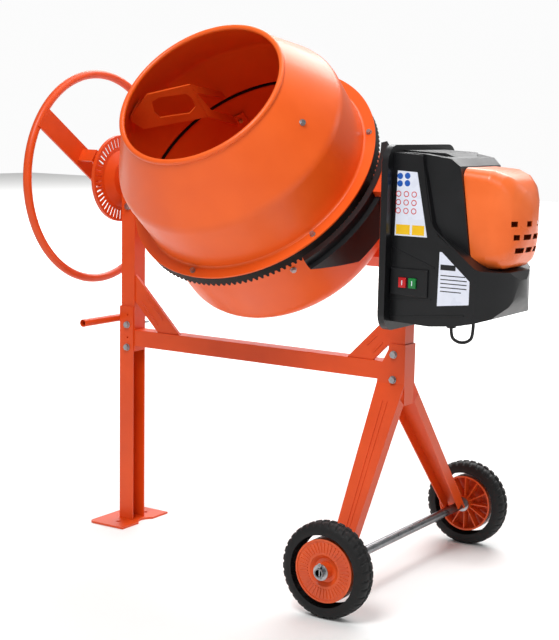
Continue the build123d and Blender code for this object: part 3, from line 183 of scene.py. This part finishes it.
class Palette:
    """Every finish on the machine, built once and handed out by name."""

    # powder coat over steel: saturated orange, soft broad highlights, faint orange peel
    ORANGE = Finish("powder_coat_orange", "#E04E12", "#D4460E", Texture.ORANGE_PEEL, 0.42, ior=1.42,
                    coat=0.08, coat_roughness=0.22, grain_mm=2.6, relief_mm=0.035, patch_mm=160)
    # the drum's coat is brighter and a little glossier on the spun sheet
    DRUM = Finish("powder_coat_drum_orange", "#F2631A", "#E85A14", Texture.ORANGE_PEEL, 0.40, ior=1.42,
                  coat=0.12, coat_roughness=0.18, grain_mm=3.0, relief_mm=0.03, patch_mm=220)
    BLADE = Finish("powder_coat_blade_orange", "#F0601C", "#E45616", Texture.ORANGE_PEEL, 0.40, grain_mm=2.6,
                   relief_mm=0.04, patch_mm=80)
    # cast iron: dark, dull, slightly greasy skin
    CAST = Finish("cast_iron_greased", "#2A2826", "#1C1B1A", Texture.CAST, 0.52, metallic=0.85, grain_mm=1.6,
                  relief_mm=0.12, patch_mm=40)
    ZINC = Finish("steel_zinc_plated", "#B9BBBD", "#9FA2A6", Texture.TURNED, 0.32, metallic=1.0, grain_mm=1.0,
                  relief_mm=0.012, patch_mm=14)
    STEEL = Finish("steel_turned", "#8C8E90", "#7A7C7F", Texture.TURNED, 0.30, metallic=1.0, grain_mm=1.0,
                   relief_mm=0.015, patch_mm=22)
    # glass-filled polypropylene: near-black with a satin mould grain that greys the highlights
    BLACK = Finish("polypropylene_moulded_black", "#0E0F12", "#0A0B0D", Texture.GRAIN, 0.36, ior=1.49,
                   grain_mm=1.4, relief_mm=0.045, patch_mm=120)
    COVER = Finish("abs_moulded_orange", "#FB7634", "#F26C2A", Texture.GRAIN, 0.33, ior=1.53, grain_mm=1.3,
                   relief_mm=0.03, patch_mm=110)
    RIM = Finish("polypropylene_moulded_orange", "#E25A20", "#D64F1A", Texture.GRAIN, 0.38, ior=1.49,
                 grain_mm=1.2, relief_mm=0.03, patch_mm=60)
    RED = Finish("polycarbonate_moulded_red", "#C8151A", "#B81015", Texture.GRAIN, 0.22, ior=1.58,
                 grain_mm=1.0, relief_mm=0.01, patch_mm=20)
    GREEN = Finish("polycarbonate_moulded_green", "#16833C", "#107434", Texture.GRAIN, 0.22, ior=1.58,
                   grain_mm=1.0, relief_mm=0.01, patch_mm=20)
    RUBBER = Finish("rubber_moulded_black", "#0C0C0D", "#080809", Texture.GRAIN, 0.66, ior=1.45, grain_mm=1.6,
                    relief_mm=0.07, patch_mm=35)
    LEAD = Finish("rubber_sheath_black", "#141416", "#0F0F11", Texture.GRAIN, 0.45, ior=1.52, grain_mm=1.0,
                  relief_mm=0.03, patch_mm=15)
    # printed vinyl film: bluish white, faintly glossy
    FILM = Finish("vinyl_film_white", "#E4E8F4", "#DCE1EF", Texture.PRINT, 0.28, ior=1.5, grain_mm=1.4,
                  relief_mm=0.006, patch_mm=60)
    FILM_BLUE = Finish("vinyl_print_blue", "#1E5BB8", "#1B54AA", Texture.PRINT, 0.28, relief_mm=0.004)
    FILM_RED = Finish("vinyl_print_red", "#D22A2C", "#C52527", Texture.PRINT, 0.28, relief_mm=0.004)
    FILM_YELLOW = Finish("vinyl_print_yellow", "#F2C21B", "#EBBA12", Texture.PRINT, 0.28, relief_mm=0.004)
    FILM_BLACK = Finish("vinyl_print_black", "#1A1B1E", "#151618", Texture.PRINT, 0.30, relief_mm=0.004)
    ALUMINIUM = Finish("aluminium_die_cast", "#A9ABAE", "#97999C", Texture.CAST, 0.42, metallic=1.0,
                       grain_mm=1.2, relief_mm=0.05, patch_mm=30)

    def __init__(self) -> None:
        """Start with nothing built."""
        self.built: dict[str, bpy.types.Material] = {}

    def get(self, finish: Finish) -> bpy.types.Material:
        """Material of a finish, made the first time it is asked for."""
        if finish.name not in self.built:
            self.built[finish.name] = finish.make()
        return self.built[finish.name]


PALETTE = Palette()


# ---------------------------------------------------------------- meshes from arrays
def mesh_piece(name: str, points: np.ndarray, faces: Sequence[Sequence[int]], finish: Finish, body: str,
               smooth_angle: float = 35.0) -> bpy.types.Object:
    """Make one piece from corner points and faces, finish it and let it ride.

    Args:
        name: Piece name.
        points: Corner points, n by 3, in metres in the machine's frame.
        faces: Corner numbers of each face, outwards.
        finish: What the piece is made of.
        body: Body that it moves with.
        smooth_angle: Edges sharper than this many degrees stay sharp.

    Returns:
        The new object.
    """
    mesh = bpy.data.meshes.new(name)
    mesh.from_pydata(np.asarray(points, float).tolist(), [], [list(map(int, f)) for f in faces])
    mesh.update()
    piece = bpy.data.objects.new(name, mesh)
    bpy.context.scene.collection.objects.link(piece)
    dress(piece, finish)
    soften(piece, smooth_angle)
    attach(piece, body)
    return piece


def dress(piece: bpy.types.Object, finish: Finish) -> None:
    """Give a piece one finish on all its faces."""
    piece.data.materials.clear()
    piece.data.materials.append(PALETTE.get(finish))


def soften(piece: bpy.types.Object, angle: float) -> None:
    """Shade faces smooth and keep the edges above an angle sharp.

    Args:
        piece: Object whose mesh is marked.
        angle: Limit in degrees between two faces' normals.
    """
    work = bmesh.new()
    work.from_mesh(piece.data)
    limit = math.radians(angle)
    for face in work.faces:
        face.smooth = True
    for edge in work.edges:
        if len(edge.link_faces) == 2:
            edge.smooth = edge.calc_face_angle(0.0) < limit
    work.to_mesh(piece.data)
    work.free()


def copy_of(node: str, finish: Finish, body: str, bevel_mm: float = 0.0, angle: float = 32.0,
            segments: int = 2) -> bpy.types.Object:
    """Stand a merged copy in for a CAD node, with softened edges.

    The copy's loose triangles are joined, flat areas become single faces, and a
    small bevel rounds each edge sharper than the angle.

    Args:
        node: CAD node.
        finish: What it is made of.
        body: Body that it moves with.
        bevel_mm: Width of the edge rounding, or 0 for none.
        angle: Edges above this many degrees are sharp.
        segments: Bevel segments.

    Returns:
        The piece that stands for the node.
    """
    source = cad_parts[node]
    mesh = source.data.copy()
    mesh.name = f"{node}_skin"
    piece = bpy.data.objects.new(f"{node}_skin", mesh)
    bpy.context.scene.collection.objects.link(piece)
    work = bmesh.new()
    work.from_mesh(mesh)
    bmesh.ops.remove_doubles(work, verts=work.verts, dist=1.5e-5)
    bmesh.ops.dissolve_limit(work, angle_limit=math.radians(0.4), verts=work.verts, edges=work.edges)
    work.to_mesh(mesh)
    work.free()
    if mesh.has_custom_normals:
        mesh.attributes.remove(mesh.attributes["custom_normal"])
    dress(piece, finish)
    soften(piece, angle)
    if bevel_mm > 0:
        modifier = piece.modifiers.new("edge_rounding", "BEVEL")
        modifier.width = bevel_mm * MM
        modifier.segments = segments
        modifier.limit_method = "ANGLE"
        modifier.angle_limit = math.radians(angle)
        modifier.harden_normals = True
        modifier.use_clamp_overlap = True
    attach(piece, body)
    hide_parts(node)
    return piece


def grid_faces(rows: int, columns: int, close_rows: bool, close_columns: bool) -> np.ndarray:
    """Quads between the points of a rows by columns grid.

    Args:
        rows: Number of rows of points.
        columns: Number of points in a row.
        close_rows: Join the last row to the first.
        close_columns: Join the last column to the first.

    Returns:
        Faces, n by 4.
    """
    r = np.arange(rows if close_rows else rows - 1)
    c = np.arange(columns if close_columns else columns - 1)
    r0, c0 = np.meshgrid(r, c, indexing="ij")
    r1, c1 = (r0 + 1) % rows, (c0 + 1) % columns
    quads = np.stack([r0 * columns + c0, r0 * columns + c1, r1 * columns + c1, r1 * columns + c0], -1)
    return quads.reshape(-1, 4)


def rounded(outline: np.ndarray, radius: float | Sequence[float], steps: int = 6) -> np.ndarray:
    """Round the corners of an open or closed line of points.

    Each corner becomes an arc tangent to both of its sides: with turn angle t and
    radius r it starts r tan(t / 2) before the corner and ends as far after it.

    Args:
        outline: Points, n by 2, open line; the ends stay as they are.
        radius: One radius, or one for each inner corner.
        steps: Points on each arc.

    Returns:
        The rounded line, m by 2.
    """
    radii = [radius] * (len(outline) - 2) if np.isscalar(radius) else list(radius)
    result = [outline[0]]
    for i in range(1, len(outline) - 1):
        before, corner, after = outline[i - 1], outline[i], outline[i + 1]
        u = (before - corner) / np.linalg.norm(before - corner)
        v = (after - corner) / np.linalg.norm(after - corner)
        r = radii[i - 1]
        half = math.acos(max(-1.0, min(1.0, float(u @ v)))) / 2
        if r <= 0 or half > math.radians(89):
            result.append(corner)
            continue
        cut = r / math.tan(half)
        middle = corner + (u + v) / np.linalg.norm(u + v) * (r / math.sin(half))
        a, b = corner + u * cut - middle, corner + v * cut - middle
        full = math.acos(max(-1.0, min(1.0, float(a @ b) / (r * r))))
        t = np.linspace(0, 1, steps)[:, None]
        result.extend(middle + (a * np.sin((1 - t) * full) + b * np.sin(t * full)) / math.sin(full))
    result.append(outline[-1])
    return np.array(result)


@dataclass(frozen=True)
class Axle:
    """A turning axis: a point, its direction and the direction of zero angle."""

    origin: tuple[float, float, float]
    along: tuple[float, float, float]
    zero: tuple[float, float, float]

    def basis(self) -> np.ndarray:
        """Unit vectors of zero angle, quarter turn and axis, as rows."""
        w = np.array(self.along, float)
        w /= np.linalg.norm(w)
        u = np.array(self.zero, float)
        u -= w * (u @ w)
        u /= np.linalg.norm(u)
        return np.array([u, np.cross(w, u), w])

    def place(self, points: np.ndarray) -> np.ndarray:
        """Take points from this axis' own frame, in metres, to the machine's."""
        return np.asarray(points) @ self.basis() + np.array(self.origin)


def join_parts(parts: Sequence[tuple[np.ndarray, np.ndarray]]) -> tuple[np.ndarray, list]:
    """Put several point and face arrays together as one mesh.

    Args:
        parts: Pairs of points and faces.

    Returns:
        All points, and all faces with their numbers moved on.
    """
    points, faces, count = [], [], 0
    for part_points, part_faces in parts:
        points.append(np.asarray(part_points, float))
        faces.extend((np.asarray(f) + count).tolist() for f in part_faces)
        count += len(part_points)
    return np.concatenate(points), faces


def wall_profile(middle: np.ndarray, thickness: float) -> np.ndarray:
    """Closed profile of a sheet: its middle line pushed half the gauge each way.

    The line's normal at a point is its central difference turned a quarter.

    Args:
        middle: Middle line, n by 2.
        thickness: Sheet gauge in the same unit.

    Returns:
        Closed loop, 2n by 2.
    """
    along = np.gradient(middle, axis=0)
    along /= np.linalg.norm(along, axis=1)[:, None]
    normal = np.stack([along[:, 1], -along[:, 0]], -1)
    return np.concatenate([middle + normal * thickness / 2, (middle - normal * thickness / 2)[::-1]])


def circle(radius: float, steps: int, centre: tuple[float, float] = (0.0, 0.0)) -> np.ndarray:
    """Points of a circle, counter-clockwise, n by 2."""
    a = np.linspace(0, 2 * math.pi, steps, endpoint=False)
    return np.stack([centre[0] + radius * np.cos(a), centre[1] + radius * np.sin(a)], -1)


def turned_loop(axle: Axle, loop: np.ndarray, segments: int, start: float = 0.0,
                stop: float = 360.0) -> tuple[np.ndarray, np.ndarray]:
    """Turn a closed loop of radius and height about an axis, with end caps if the turn is part of a circle.

    Args:
        axle: Turning axis.
        loop: Closed loop, n by 2, counter-clockwise with radius to the right.
        segments: Steps round the turn.
        start: First angle in degrees.
        stop: Last angle in degrees.

    Returns:
        Points and faces.
    """
    area = 0.5 * np.sum(loop[:, 0] * np.roll(loop[:, 1], -1) - np.roll(loop[:, 0], -1) * loop[:, 1])
    if area < 0:
        loop = loop[::-1]
    whole = abs(stop - start) >= 360
    angles = np.radians(np.linspace(start, stop, segments, endpoint=not whole))[:, None]
    r, h = loop[:, 0][None, :], loop[:, 1][None, :]
    points = np.stack([r * np.cos(angles), r * np.sin(angles), h + 0 * angles], -1).reshape(-1, 3)
    n = len(loop)
    faces = [list(f)[::-1] for f in grid_faces(segments, n, whole, True)]
    if not whole:
        faces.append(list(range(n)))
        faces.append(list(range((segments - 1) * n, segments * n))[::-1])
    return axle.place(points), faces


def prism(outline: np.ndarray, place: Callable[[np.ndarray], np.ndarray], low: float,
          high: float) -> tuple[np.ndarray, list]:
    """Straight prism: an outline at two heights with its side walls.

    Args:
        outline: Closed outline, n by 2, counter-clockwise seen from the high side.
        place: Takes points of the prism's own frame to the machine's.
        low: Height of the bottom.
        high: Height of the top.

    Returns:
        Points and faces.
    """
    n = len(outline)
    bottom = np.concatenate([outline, np.full((n, 1), low)], 1)
    top = np.concatenate([outline, np.full((n, 1), high)], 1)
    faces = [list(range(n))[::-1], [n + i for i in range(n)]]
    faces += [[i, (i + 1) % n, n + (i + 1) % n, n + i] for i in range(n)]
    return place(np.concatenate([bottom, top])), faces


# ---------------------------------------------------------------- the machine's own axes
# millimetres: the drum's axis lies this far left of the frame's origin, the tilting axis this far behind it
ORIGIN_X = 86.5
ORIGIN_Y = 6.399
AXIS_HEIGHT = 841.0
FACE_DEPTH = 126.0      # cover's front face, before the tilting axis
TILT = Axle((-ORIGIN_X * MM, ORIGIN_Y * MM, AXIS_HEIGHT * MM), (1, 0, 0), (0, 0, 1))
LEAN = math.radians(49.6)
DRUM = Axle(TILT.origin, (0, -math.sin(LEAN), math.cos(LEAN)), (1, 0, 0))


def natural(x: float, y: float, z: float) -> tuple[float, float, float]:
    """Millimetres from the drum's tilting axis and the floor, to metres in the machine's frame."""
    return ((x - ORIGIN_X) * MM, (y + ORIGIN_Y) * MM, z * MM)


def on_front(outline: np.ndarray) -> np.ndarray:
    """Take x, z and depth in millimetres from the cover's front face to the machine's frame."""
    x, z, depth = outline.T
    return np.stack([(x - ORIGIN_X) * MM, (ORIGIN_Y - FACE_DEPTH - depth) * MM, z * MM], -1)


# ---------------------------------------------------------------- studio
@dataclass
class Studio:
    """Pale floor, soft lights and the camera."""

    eye: tuple[float, float, float] = (1.7477, -2.6809, 1.0047)
    yaw: float = 0.5465
    pitch: float = -0.1616
    roll: float = 0.0256
    lens: float = 80.4
    shift: tuple[float, float] = (-0.0855, 0.0439)
    fill: float = 0.30
    key: float = 76.0

    def camera(self) -> None:
        """Stand the camera at its place: yaw and pitch give the view, roll turns it."""
        cy, sy, cp, sp = math.cos(self.yaw), math.sin(self.yaw), math.cos(self.pitch), math.sin(self.pitch)
        view = Vector((-sy * cp, cy * cp, sp))
        right = Vector((cy, sy, 0))
        up = right.cross(view)
        r = right * math.cos(self.roll) + up * math.sin(self.roll)
        u = up * math.cos(self.roll) - right * math.sin(self.roll)
        data = bpy.data.cameras.new("view_camera")
        data.lens = self.lens
        data.sensor_width = 36.0
        data.shift_x, data.shift_y = self.shift
        data.clip_end = 50.0
        camera = bpy.data.objects.new("view_camera", data)
        camera.matrix_world = Matrix(((r.x, u.x, -view.x, self.eye[0]), (r.y, u.y, -view.y, self.eye[1]),
                                      (r.z, u.z, -view.z, self.eye[2]), (0, 0, 0, 1)))
        bpy.context.scene.collection.objects.link(camera)
        bpy.context.scene.camera = camera

    def lamp(self, name: str, place: tuple, target: tuple, size: float, power: float) -> None:
        """Hang one square soft light that faces a target.

        Args:
            name: Light's name.
            place: Where it hangs.
            target: What it faces.
            size: Side in metres.
            power: Watts.
        """
        data = bpy.data.lights.new(name, "AREA")
        data.size = size
        data.energy = power
        light = bpy.data.objects.new(name, data)
        light.location = place
        light.rotation_euler = (Vector(target) - Vector(place)).to_track_quat("-Z", "Y").to_euler()
        bpy.context.scene.collection.objects.link(light)

    def floor(self) -> None:
        """Lay a pale matt floor that reaches far behind the machine."""
        mesh = bpy.data.meshes.new("studio_floor")
        side = 14.0
        corners = [(-side, -side, 0), (side, -side, 0), (side, side, 0), (-side, side, 0)]
        mesh.from_pydata(corners, [], [(0, 1, 2, 3)])
        floor = bpy.data.objects.new("studio_floor", mesh)
        bpy.context.scene.collection.objects.link(floor)
        material = bpy.data.materials.new("painted_floor_pale")
        material.use_nodes = True
        shader = material.node_tree.nodes["Principled BSDF"]
        shader.inputs["Base Color"].default_value = linear("#F6F6F5")
        shader.inputs["Roughness"].default_value = 0.75
        mesh.materials.append(material)

    def build(self) -> None:
        """Set up world, lights, floor and camera."""
        scene = bpy.context.scene
        scene.view_settings.view_transform = "Standard"
        world = bpy.data.worlds.new("studio_world")
        world.use_nodes = True
        tree = world.node_tree
        tree.nodes.clear()
        # the wall behind is bright; what it gives the machine is dimmer, so that its sides keep their shade
        wall = add(tree, "ShaderNodeBackground", {"Color": linear("#FFFFFF"), "Strength": 0.97})
        fill = add(tree, "ShaderNodeBackground", {"Color": linear("#FFFFFF"), "Strength": self.fill})
        seen = add(tree, "ShaderNodeLightPath").outputs["Is Camera Ray"]
        mixed = add(tree, "ShaderNodeMixShader",
                    {0: seen, 1: fill.outputs["Background"], 2: wall.outputs["Background"]})
        add(tree, "ShaderNodeOutputWorld", {"Surface": mixed.outputs["Shader"]})
        scene.world = world
        self.lamp("key_softbox", (0.4, -2.1, 3.3), (0, 0, 0.8), 1.3, self.key)
        self.lamp("front_softbox", (2.9, -2.4, 2.2), (0.2, 0, 0.7), 1.8, 0.14 * self.key)
        self.lamp("top_softbox", (0.3, 0.6, 3.2), (0, 0, 0.8), 1.8, 0.34 * self.key)
        self.lamp("rear_strip", (2.2, 2.2, 2.2), (0.1, 0, 0.8), 1.2, 0.10 * self.key)
        # the floor far behind is lit by itself, so that it meets the wall without a line
        self.lamp("floor_wash", (-3.5, 8.0, 6.0), (-3.5, 9.0, 0.0), 9.0, 1700.0)
        self.floor()
        self.camera()


@dataclass
class MotorLead:
    """Short flexible lead that leaves its gland, hangs in a loop and enters the cover again."""

    diameter: float = 0.007
    length: float = 0.1152
    # control points in millimetres from the drum's tilting axis
    route: tuple = ((518.0, -60.0, 582.0), (518.0, -60.0, 560.0), (526.0, -57.0, 549.5),
                    (539.5, -52.0, 545.0), (553.0, -47.0, 549.5), (561.0, -44.0, 560.0),
                    (561.0, -44.0, 598.0))

    def build(self) -> None:
        """Make the lead as one smooth curve along its route."""
        data = bpy.data.curves.new("motor_lead_sheath", "CURVE")
        data.dimensions = "3D"
        data.bevel_depth = self.diameter / 2
        data.bevel_resolution = 5
        data.resolution_u = 12
        data.use_fill_caps = True
        spline = data.splines.new("NURBS")
        points = [natural(*p) for p in self.route]
        spline.points.add(len(points) - 1)
        for point, place in zip(spline.points, points):
            point.co = (*place, 1.0)
        spline.order_u = 3
        spline.use_endpoint_u = True
        piece = bpy.data.objects.new("motor_lead_sheath", data)
        bpy.context.scene.collection.objects.link(piece)
        data.materials.append(PALETTE.get(Palette.LEAD))
        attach(piece, "frame")
        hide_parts("motor_lead")
        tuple(points[0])


# ---------------------------------------------------------------- frame
@dataclass
class FrameWork:
    """Welded and bolted steel under the drum."""

    edge_mm: float = 2.2
    tubes: tuple = ("left_upright", "right_upright", "crossbar")
    pressed: tuple = ("left_brace", "right_brace", "foot_leg", "foot_plate", "wheel_leg_front",
                      "wheel_leg_rear", "bearing_blocks", "housing_plate", "handle_bar")
    hardware: tuple = ("frame_bolts", "frame_nuts", "wheel_washers", "cotter_pins")

    def build(self) -> None:
        """Round the edges of the tubes and pressings, and finish the hardware."""
        for node in self.tubes:
            copy_of(node, Palette.ORANGE, "frame", self.edge_mm, segments=3)
        for node in self.pressed:
            copy_of(node, Palette.ORANGE, "frame", 0.9)
        for node in self.hardware:
            copy_of(node, Palette.ZINC, "frame", 0.35)
        copy_of("axle", Palette.STEEL, "frame", 0.5)
        log.info("frame built")


@dataclass
class RoadWheel:
    """Tyre with a block tread on a moulded rim."""

    side: str
    body: str
    middle_y: float
    radius: float = 0.100
    width: float = 0.050
    depth: float = 0.034
    blocks: int = 34
    groove: float = 0.0024

    def tyre(self) -> None:
        """Make the tyre as radius over turn angle and width.

        The carcass is a superellipse over the width. Grooves cut into it where the
        block pattern, two rows of bars staggered by half a pitch, is low; the cut
        fades out down the sidewall.
        """
        turn = np.linspace(0, 2 * math.pi, 680, endpoint=False)[:, None]
        across = np.linspace(-1, 1, 41)[None, :]
        inner = self.radius - self.depth
        dome = (1 - np.abs(across) ** 3.2 * 0.96) ** (1 / 2.4)
        crown = inner + (self.radius - inner) * dome
        half = self.width / 2
        y = half * np.sign(across) * np.abs(across) ** 0.8
        y = y * (0.80 + 0.20 * np.clip(dome * 1.9, 0, 1))
        row = np.where(across < 0, 0.0, 0.5)
        wave = ((turn / (2 * math.pi) * self.blocks + row + 0.35 * across) % 1.0)
        cut = 1 - np.clip((np.abs(wave - 0.5) - 0.13) / 0.06, 0, 1)
        centre = 1 - np.clip((np.abs(across) - 0.05) / 0.05, 0, 1)
        fade = np.clip((0.80 - np.abs(across)) / 0.12, 0, 1)
        depth = self.groove * np.maximum(cut, centre) * fade
        radius = crown - depth
        points = np.stack([radius * np.cos(turn), radius * np.sin(turn), y + 0 * turn], -1).reshape(-1, 3)
        axle = Axle((0.3035, self.middle_y, 0.100), (0, 1, 0), (0, 0, 1))
        # the grid runs inwards about this axis, so its faces are turned over
        faces = grid_faces(680, 41, True, False)[:, ::-1]
        piece = mesh_piece(f"{self.side}_tyre_tread", axle.place(points), faces, Palette.RUBBER, self.body,
                           50)
        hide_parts(f"{self.side}_tyre")

    def build(self) -> None:
        """Make the tyre and finish the rim."""
        self.tyre()
        copy_of(f"{self.side}_rim", Palette.RIM, self.body, 0.0, 40)
        log.info("%s wheel built", self.side)


# ---------------------------------------------------------------- drum
@dataclass
class Drum:
    """Spun and welded drum with its seam, gear and blades."""

    sheet: float = 2.0
    radius: float = 266.0
    flange: float = 295.0
    seam: float = 58.5
    shoulder: float = 184.0
    mouth: tuple[float, float] = (187.0, 312.0)
    bottom: float = -171.0

    def cone(self) -> None:
        """Turn the upper shell: flange, skirt, shoulder and cone, and the bead round its mouth."""
        line = np.array([(self.flange - 0.2, self.seam - 1.25), (self.radius, self.seam - 1.25),
                         (self.radius, self.shoulder), self.mouth])
        profile = wall_profile(rounded(line, (7.0, 45.0), 12), self.sheet)
        bead = circle(6.0, 20, self.mouth)
        parts = [turned_loop(DRUM, profile * MM, 192), turned_loop(DRUM, bead * MM, 192)]
        points, faces = join_parts(parts)
        piece = mesh_piece("drum_cone_shell", points, faces, Palette.DRUM, "drum", 40)
        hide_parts("drum_cone")

    def pan(self) -> None:
        """Turn the lower shell: flange, wall and bottom."""
        line = np.array([(self.flange - 2.2, 53.25), (self.radius, 53.25), (self.radius, self.bottom),
                         (26.0, self.bottom)])
        profile = wall_profile(rounded(line, (5.0, 50.0), 12), self.sheet)
        points, faces = turned_loop(DRUM, profile * MM, 192)
        piece = mesh_piece("drum_pan_shell", points, faces, Palette.DRUM, "drum", 40)
        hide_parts("drum_pan")

    def build(self) -> None:
        """Make the shells and finish what is bolted to them."""
        self.cone()
        self.pan()
        copy_of("drum_seal", Palette.RUBBER, "drum", 0.0)
        copy_of("ring_gear", Palette.CAST, "drum", 0.0)
        copy_of("flange_screws", Palette.ZINC, "drum", 0.4)
        copy_of("blade_bolts", Palette.ZINC, "drum", 0.4)
        copy_of("drum_hub", Palette.CAST, "drum", 1.0)
        for node in ("left_blade", "right_blade"):
            copy_of(node, Palette.BLADE, "drum", 1.0)
        log.info("drum built")


@dataclass
class Yoke:
    """Fork that carries the drum, with its pivots and the guard over the gear."""

    def build(self) -> None:
        """Round the fork's edges and finish the pivots and the guard."""
        copy_of("yoke", Palette.ORANGE, "tilting_yoke", 2.5, segments=3)
        copy_of("gear_guard", Palette.BLACK, "tilting_yoke", 1.2)
        for node in ("left_trunnion", "right_trunnion", "drum_spindle"):
            copy_of(node, Palette.STEEL, "tilting_yoke", 0.5)
        copy_of("spindle_nut", Palette.ZINC, "tilting_yoke", 1.2)
        copy_of("handwheel_nut", Palette.ZINC, "tilting_yoke", 0.5)
        copy_of("handwheel_spring", Palette.STEEL, "tilting_yoke", 0.0)
        copy_of("pinion", Palette.CAST, "drive", 0.0)
        copy_of("drive_shaft", Palette.STEEL, "drive", 0.0)
        copy_of("drive_pulley", Palette.BLACK, "drive", 0.0)
        log.info("yoke built")


@dataclass
class Handwheel:
    """Tilting wheel and its slotted disc."""

    def build(self) -> None:
        """Turn the rim and finish the bar, hub, tongue and disc."""
        rim = Axle((natural(-485, 0, 0)[0], TILT.origin[1], TILT.origin[2]), (1, 0, 0), (0, 0, 1))
        points, faces = turned_loop(rim, circle(10.0, 20, (246.0, 0.0)) * MM, 144)
        piece = mesh_piece("handwheel_rim_tube", points, faces, Palette.ORANGE, "handwheel", 60)
        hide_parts("handwheel_rim")
        copy_of("handwheel_bar", Palette.ORANGE, "handwheel", 0.8)
        copy_of("handwheel_hub", Palette.ORANGE, "handwheel", 0.6)
        copy_of("locking_tongue", Palette.ORANGE, "handwheel", 0.6)
        copy_of("index_disc", Palette.ORANGE, "frame", 0.5)
        log.info("handwheel built")


@dataclass
class DriveHousing:
    """Moulded housing round motor and belt."""

    def build(self) -> None:
        """Finish the covers, the switch and what is inside."""
        copy_of("housing_cover", Palette.BLACK, "frame", 4.0, 25, 3)
        copy_of("motor_cover", Palette.COVER, "frame", 1.0, 40, 2)
        copy_of("switch_box", Palette.BLACK, "frame", 0.6)
        copy_of("stop_button", Palette.RED, "stop_key", 0.3)
        copy_of("start_button", Palette.GREEN, "start_key", 0.3)
        copy_of("safety_label", Palette.FILM, "frame", 0.0)
        copy_of("rating_label", Palette.FILM, "frame", 0.0)
        copy_of("cable_gland", Palette.BLACK, "frame", 0.6)
        copy_of("motor_stator", Palette.ALUMINIUM, "frame", 0.0)
        copy_of("motor_bracket", Palette.ZINC, "frame", 0.0)
        copy_of("drive_belt", Palette.RUBBER, "frame", 0.0)
        copy_of("motor_pulley", Palette.STEEL, "rotor", 0.0)
        copy_of("motor_rotor", Palette.STEEL, "rotor", 0.0)
        log.info("housing built")


def strip(line: Sequence[tuple[float, float]], width: float) -> np.ndarray:
    """Outline of a band of one width along an open line, with mitred corners."""
    points = np.asarray(line, float)
    along = np.diff(points, axis=0)
    along /= np.linalg.norm(along, axis=1)[:, None]
    across = np.stack([-along[:, 1], along[:, 0]], 1)
    sides = np.concatenate([across[:1], across[:-1] + across[1:], across[-1:]])
    sides /= np.linalg.norm(sides, axis=1)[:, None]
    stretch = np.ones(len(points))
    stretch[1:-1] = 1 / np.sum(sides[1:-1] * across[:-1], 1)
    step = sides * (0.5 * width * stretch)[:, None]
    return np.concatenate([points - step, (points + step)[::-1]])


def rectangle(left: float, right: float, low: float, high: float) -> np.ndarray:
    """Outline of an upright rectangle, counter-clockwise."""
    return np.array([(left, low), (right, low), (right, high), (left, high)], float)


@dataclass
class CoverFace:
    """What is moulded into and stuck on the housing's front face: ribs, and plain printed shapes."""

    rib_width: float = 3.0
    rib_height: float = 1.4
    film: float = 0.4
    print_top: float = 0.52
    key_depth: float = 8.95
    ribs: tuple = (((399, 744), (508, 704)), ((400, 630), (503, 640)), ((401, 595), (578, 613)))
    tier: tuple = ((472, 927), (474, 915), (481, 869), (489, 825), (495, 798), (505, 782), (597, 708))
    dots: tuple = ((423, 886), (440, 887), (423, 871), (440, 872))
    rings: tuple = tuple((420.5 + 18 * i, 850 - 17 * j) for j in range(3) for i in range(3))
    # left, right, low, high
    panels: tuple = ((417, 449, 768, 788), (454, 482, 768, 788))
    bars: tuple = ((522, 556, 702, 713), (523, 578, 690, 692), (523, 582, 682, 684),
                   (523, 582, 674, 676), (523, 582, 666, 668), (523, 570, 658, 660))

    def raised(self, name: str, outlines: Sequence[np.ndarray], low: float, high: float, finish: Finish) -> None:
        """Stand outlines up from the face as one piece.

        Args:
            name: Piece name.
            outlines: Closed outlines in x and z.
            low: Depth where they start, from the face.
            high: Depth where they end.
            finish: What they are made of.
        """
        points, faces = join_parts([prism(np.asarray(o, float), on_front, low, high) for o in outlines])
        piece = mesh_piece(name, points, faces, finish, "frame", 30)

    def build(self) -> None:
        """Make the ribs, then the coloured shapes on the two films."""
        lines = [strip(line, self.rib_width) for line in (*self.ribs, self.tier)]
        self.raised("cover_ribs", lines, -0.4, self.rib_height, Palette.BLACK)
        rings = [circle(6.2, 28, c) for c in self.rings]
        self.raised("film_print_red", rings, self.film, self.print_top, Palette.FILM_RED)
        cores = [circle(4.4, 24, c) for c in self.rings]
        self.raised("film_print_white", cores, self.print_top, self.print_top + 0.1, Palette.FILM)
        self.raised("film_print_blue", [circle(6.4, 28, c) for c in self.dots], self.film, self.print_top,
                    Palette.FILM_BLUE)
        self.raised("film_print_yellow", [rectangle(*p) for p in self.panels], self.film, self.print_top,
                    Palette.FILM_YELLOW)
        self.raised("film_print_black", [rectangle(*b) for b in self.bars], self.film, self.print_top,
                    Palette.FILM_BLACK)
        # marks on the two keys: a plain upright bar in each
        for key, body, middle in (("stop", "stop_key", 439.0), ("start", "start_key", 462.0)):
            bar = rectangle(middle - 1, middle + 1, 665, 675)
            points, faces = prism(bar, on_front, self.key_depth, self.key_depth + 0.15)
            piece = mesh_piece(f"{key}_key_mark", points, faces, Palette.FILM, body, 30)
        log.info("cover face built")


def main() -> None:
    """Build the machine and its studio in order."""
    logging.basicConfig(level=logging.INFO, format="%(name)s: %(message)s")
    Studio().build()
    MotorLead().build()
    FrameWork().build()
    RoadWheel("front", "front_wheel", natural(0, -317, 0)[1]).build()
    RoadWheel("rear", "rear_wheel", natural(0, 317, 0)[1]).build()
    Drum().build()
    Yoke().build()
    Handwheel().build()
    DriveHousing().build()
    CoverFace().build()


if __name__ == "__main__":
    main()
